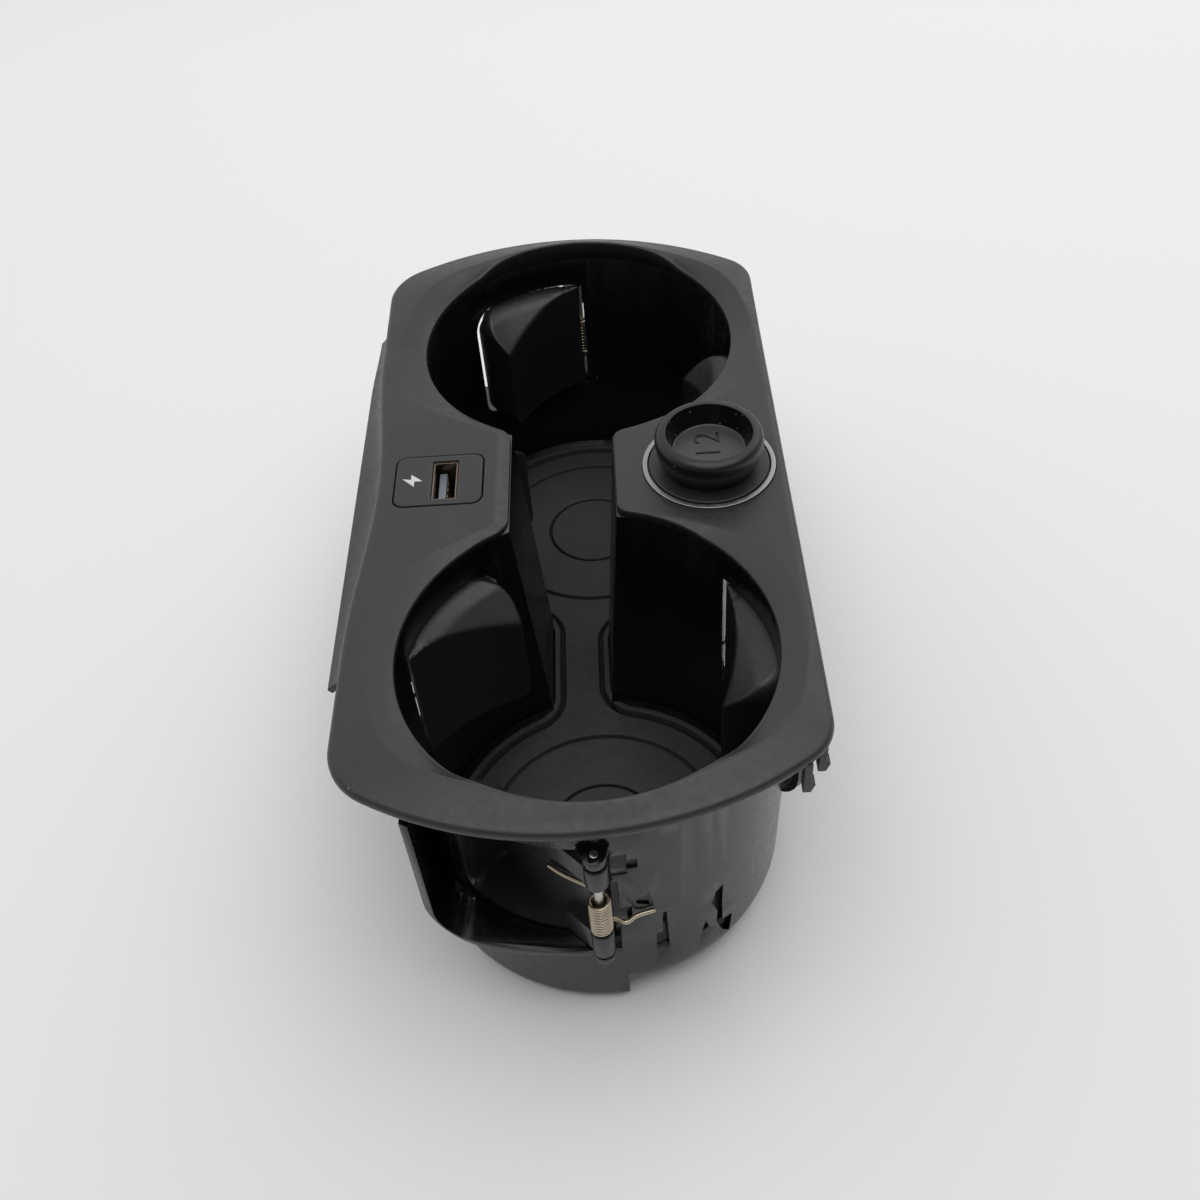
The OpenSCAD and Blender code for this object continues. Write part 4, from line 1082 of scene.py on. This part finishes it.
# ---- port frame and its mark
def make_port():
    """Frame round the port's opening, and its mark."""
    top = OPEN_Z + LAND_H + 0.2
    port_x = USB_X + 1.5
    outer = rounded_rect(USB_X, 0, USB_L, USB_W, 2.7)
    hole = rounded_rect(port_x, 0, 6.4 + 0.9, 14.2 + 0.9, 0.5)
    inside = np.array([(x, y) for x in np.arange(-47, -25.5, 2.0)
                       for y in np.arange(-8, 8.1, 2.0)])
    ok = in_loop(inside, offset_loop(outer, -0.6)) & ~in_loop(inside, offset_loop(hole, 0.6))
    co, tri, marks = fill_area(offset_loop(outer, -0.5), [hole], inside[ok])
    verts = [(x, y, top) for x, y in co]
    faces = [tuple(int(i) for i in t) for t in tri]
    bottoms = []
    for loop, pts, steps in ((marks[0], outer, ((-0.24, -0.06), (-0.06, -0.22), (0.0, -0.5))),
                             (marks[1], hole, ((-0.2, -0.12), (-0.38, -0.3), (-0.45, -0.6)))):
        for d, dz in steps + ((steps[-1][0], PLATE_Z - top),):
            ring = offset_loop(pts, d)
            k = len(verts)
            verts += [(p[0], p[1], top + dz) for p in ring]
            nxt = list(range(k, k + len(ring)))
            faces += stitch(loop, nxt)
            loop = nxt
        bottoms.append((loop, ring))
    _, tri, marks = fill_area(bottoms[0][1], [bottoms[1][1]], [])
    place = {k: i for (loop, _), m in zip(bottoms, marks) for i, k in zip(loop, m)}
    faces += [tuple(place[int(i)] for i in t[::-1]) for t in tri]
    ob = new_object("port_frame", verts, faces, M["port"], slot="port_plastic")
    outward(ob)
    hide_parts("usb_frame")
    # a plain bolt that says power, printed beside the opening
    bolt = [(0.2, 2.6), (-1.5, -0.35), (-0.25, -0.35), (-0.55, -2.6), (1.5, 0.55), (0.2, 0.55)]
    pts = [(MARK_X + b[1], -b[0] * 1.55) for b in bolt]
    new_object("port_mark", *prism(pts, "z", top - 0.02, top + 0.04), M["mark"],
               slot="port_plastic", shade=False)


make_port()


# ---- CAD nodes that stay
KEPT = [("tub", "tub", 0.35), ("bezel_screws", "steel", 0.15)]
KEPT += [("pin_" + f, "steel", 0.2) for f in FINGERS]
KEPT += [("usb_body", "body", 0.3), ("usb_shell", "tin", 0.08), ("usb_tongue", "tongue", 0.1),
         ("usb_contacts", "brass", 0.05), ("socket_body", "body", 0.3),
         ("socket_barrel", "steel", 0.2), ("socket_contact", "brass", 0.15)]
for name, mat, width in KEPT:
    dress(name, mat, width)


# ---- camera, at the photograph's viewing angle
RIGHT = Vector((0.9979, -0.0276, -0.0584))
UP = Vector((0.0599, 0.7321, 0.6786))
FORWARD = Vector((-0.0240, 0.6807, -0.7322))
EYE = Vector((0.01068, -0.24678, 0.29830))
cam_data = bpy.data.cameras.new("camera")
cam_data.lens = 38.45
cam_data.sensor_width = 36
cam_data.sensor_fit = "HORIZONTAL"
cam_data.clip_start = 0.01
cam = bpy.data.objects.new("camera", cam_data)
SCENE.collection.objects.link(cam)
cam.matrix_world = Matrix((
    (RIGHT.x, UP.x, -FORWARD.x, EYE.x), (RIGHT.y, UP.y, -FORWARD.y, EYE.y),
    (RIGHT.z, UP.z, -FORWARD.z, EYE.z), (0, 0, 0, 1)))
SCENE.camera = cam
SCENE.view_settings.view_transform = "Standard"


# ---- light and floor
def area_light(name, place, target, size, power):
    data = bpy.data.lights.new(name, "AREA")
    data.shape = "RECTANGLE"
    data.size, data.size_y = size
    data.energy = power
    ob = bpy.data.objects.new(name, data)
    SCENE.collection.objects.link(ob)
    ob.location = place
    ob.rotation_euler = (Vector(target) - Vector(place)).to_track_quat("-Z", "Y").to_euler()


area_light("overhead", (0.15, -0.2, 1.7), (0, 0, 0.05), (1.9, 1.7), 16.5)
area_light("window", (1.15, 1.5, 1.35), (0, 0, 0.05), (1.3, 0.9), 4.0)

world = bpy.data.worlds.new("room")
SCENE.world = world
world.use_nodes = True
wt = world.node_tree
wt.nodes.clear()
w_out = node(wt, "ShaderNodeOutputWorld")
w_bg = node(wt, "ShaderNodeBackground")
w_bg.inputs["Strength"].default_value = 1.0
w_at = node(wt, "ShaderNodeTexCoord")
# the room is brighter towards the rear
w_dot = node(wt, "ShaderNodeVectorMath", operation="DOT_PRODUCT")
w_dot.inputs[1].default_value = (-0.3, 0.95, 0.0)
w_ramp = node(wt, "ShaderNodeValToRGB")
w_ramp.color_ramp.elements[0].position = 0.25
w_ramp.color_ramp.elements[0].color = (0.20, 0.20, 0.203, 1)
w_ramp.color_ramp.elements[1].position = 0.9
w_ramp.color_ramp.elements[1].color = (0.90, 0.90, 0.905, 1)
w_map = node(wt, "ShaderNodeMapRange")
w_map.inputs["From Min"].default_value = -1.0
w_map.inputs["From Max"].default_value = 1.0
wt.links.new(w_at.outputs["Generated"], w_dot.inputs[0])
wt.links.new(w_dot.outputs["Value"], w_map.inputs["Value"])
wt.links.new(w_map.outputs["Result"], w_ramp.inputs["Fac"])
wt.links.new(w_ramp.outputs["Color"], w_bg.inputs["Color"])
wt.links.new(w_bg.outputs[0], w_out.inputs[0])

floor_mesh = bpy.data.meshes.new("floor")
FLOOR_HALF, FLOOR_Z = 4.0, -0.0002
floor_mesh.from_pydata([(x * FLOOR_HALF, y * FLOOR_HALF, FLOOR_Z)
                        for x, y in ((-1, -1), (1, -1), (1, 1), (-1, 1))], [], [(0, 1, 2, 3)])
floor = bpy.data.objects.new("floor", floor_mesh)
SCENE.collection.objects.link(floor)
fm = bpy.data.materials.new("floor_white_painted_falloff")
fm.use_nodes = True
ft = fm.node_tree
fb = ft.nodes["Principled BSDF"]
fb.inputs["Roughness"].default_value = 0.8
fb.inputs["Specular IOR Level"].default_value = 0.2
# painted shade: the floor's colour darkens from the rear towards the front, standing for the light
# falling off across it
f_at = node(ft, "ShaderNodeTexCoord")
f_split = node(ft, "ShaderNodeSeparateXYZ")
f_map = node(ft, "ShaderNodeMapRange")
f_map.inputs["From Min"].default_value = -0.25
f_map.inputs["From Max"].default_value = 0.45
f_falloff_ramp = node(ft, "ShaderNodeValToRGB")
f_falloff_ramp.color_ramp.elements[0].color = (0.82, 0.825, 0.83, 1)
f_falloff_ramp.color_ramp.elements[1].color = (0.94, 0.945, 0.95, 1)
ft.links.new(f_at.outputs["Object"], f_split.inputs[0])
ft.links.new(f_split.outputs["Y"], f_map.inputs["Value"])
ft.links.new(f_map.outputs["Result"], f_falloff_ramp.inputs["Fac"])
ft.links.new(f_falloff_ramp.outputs["Color"], fb.inputs["Base Color"])
floor_mesh.materials.append(fm)
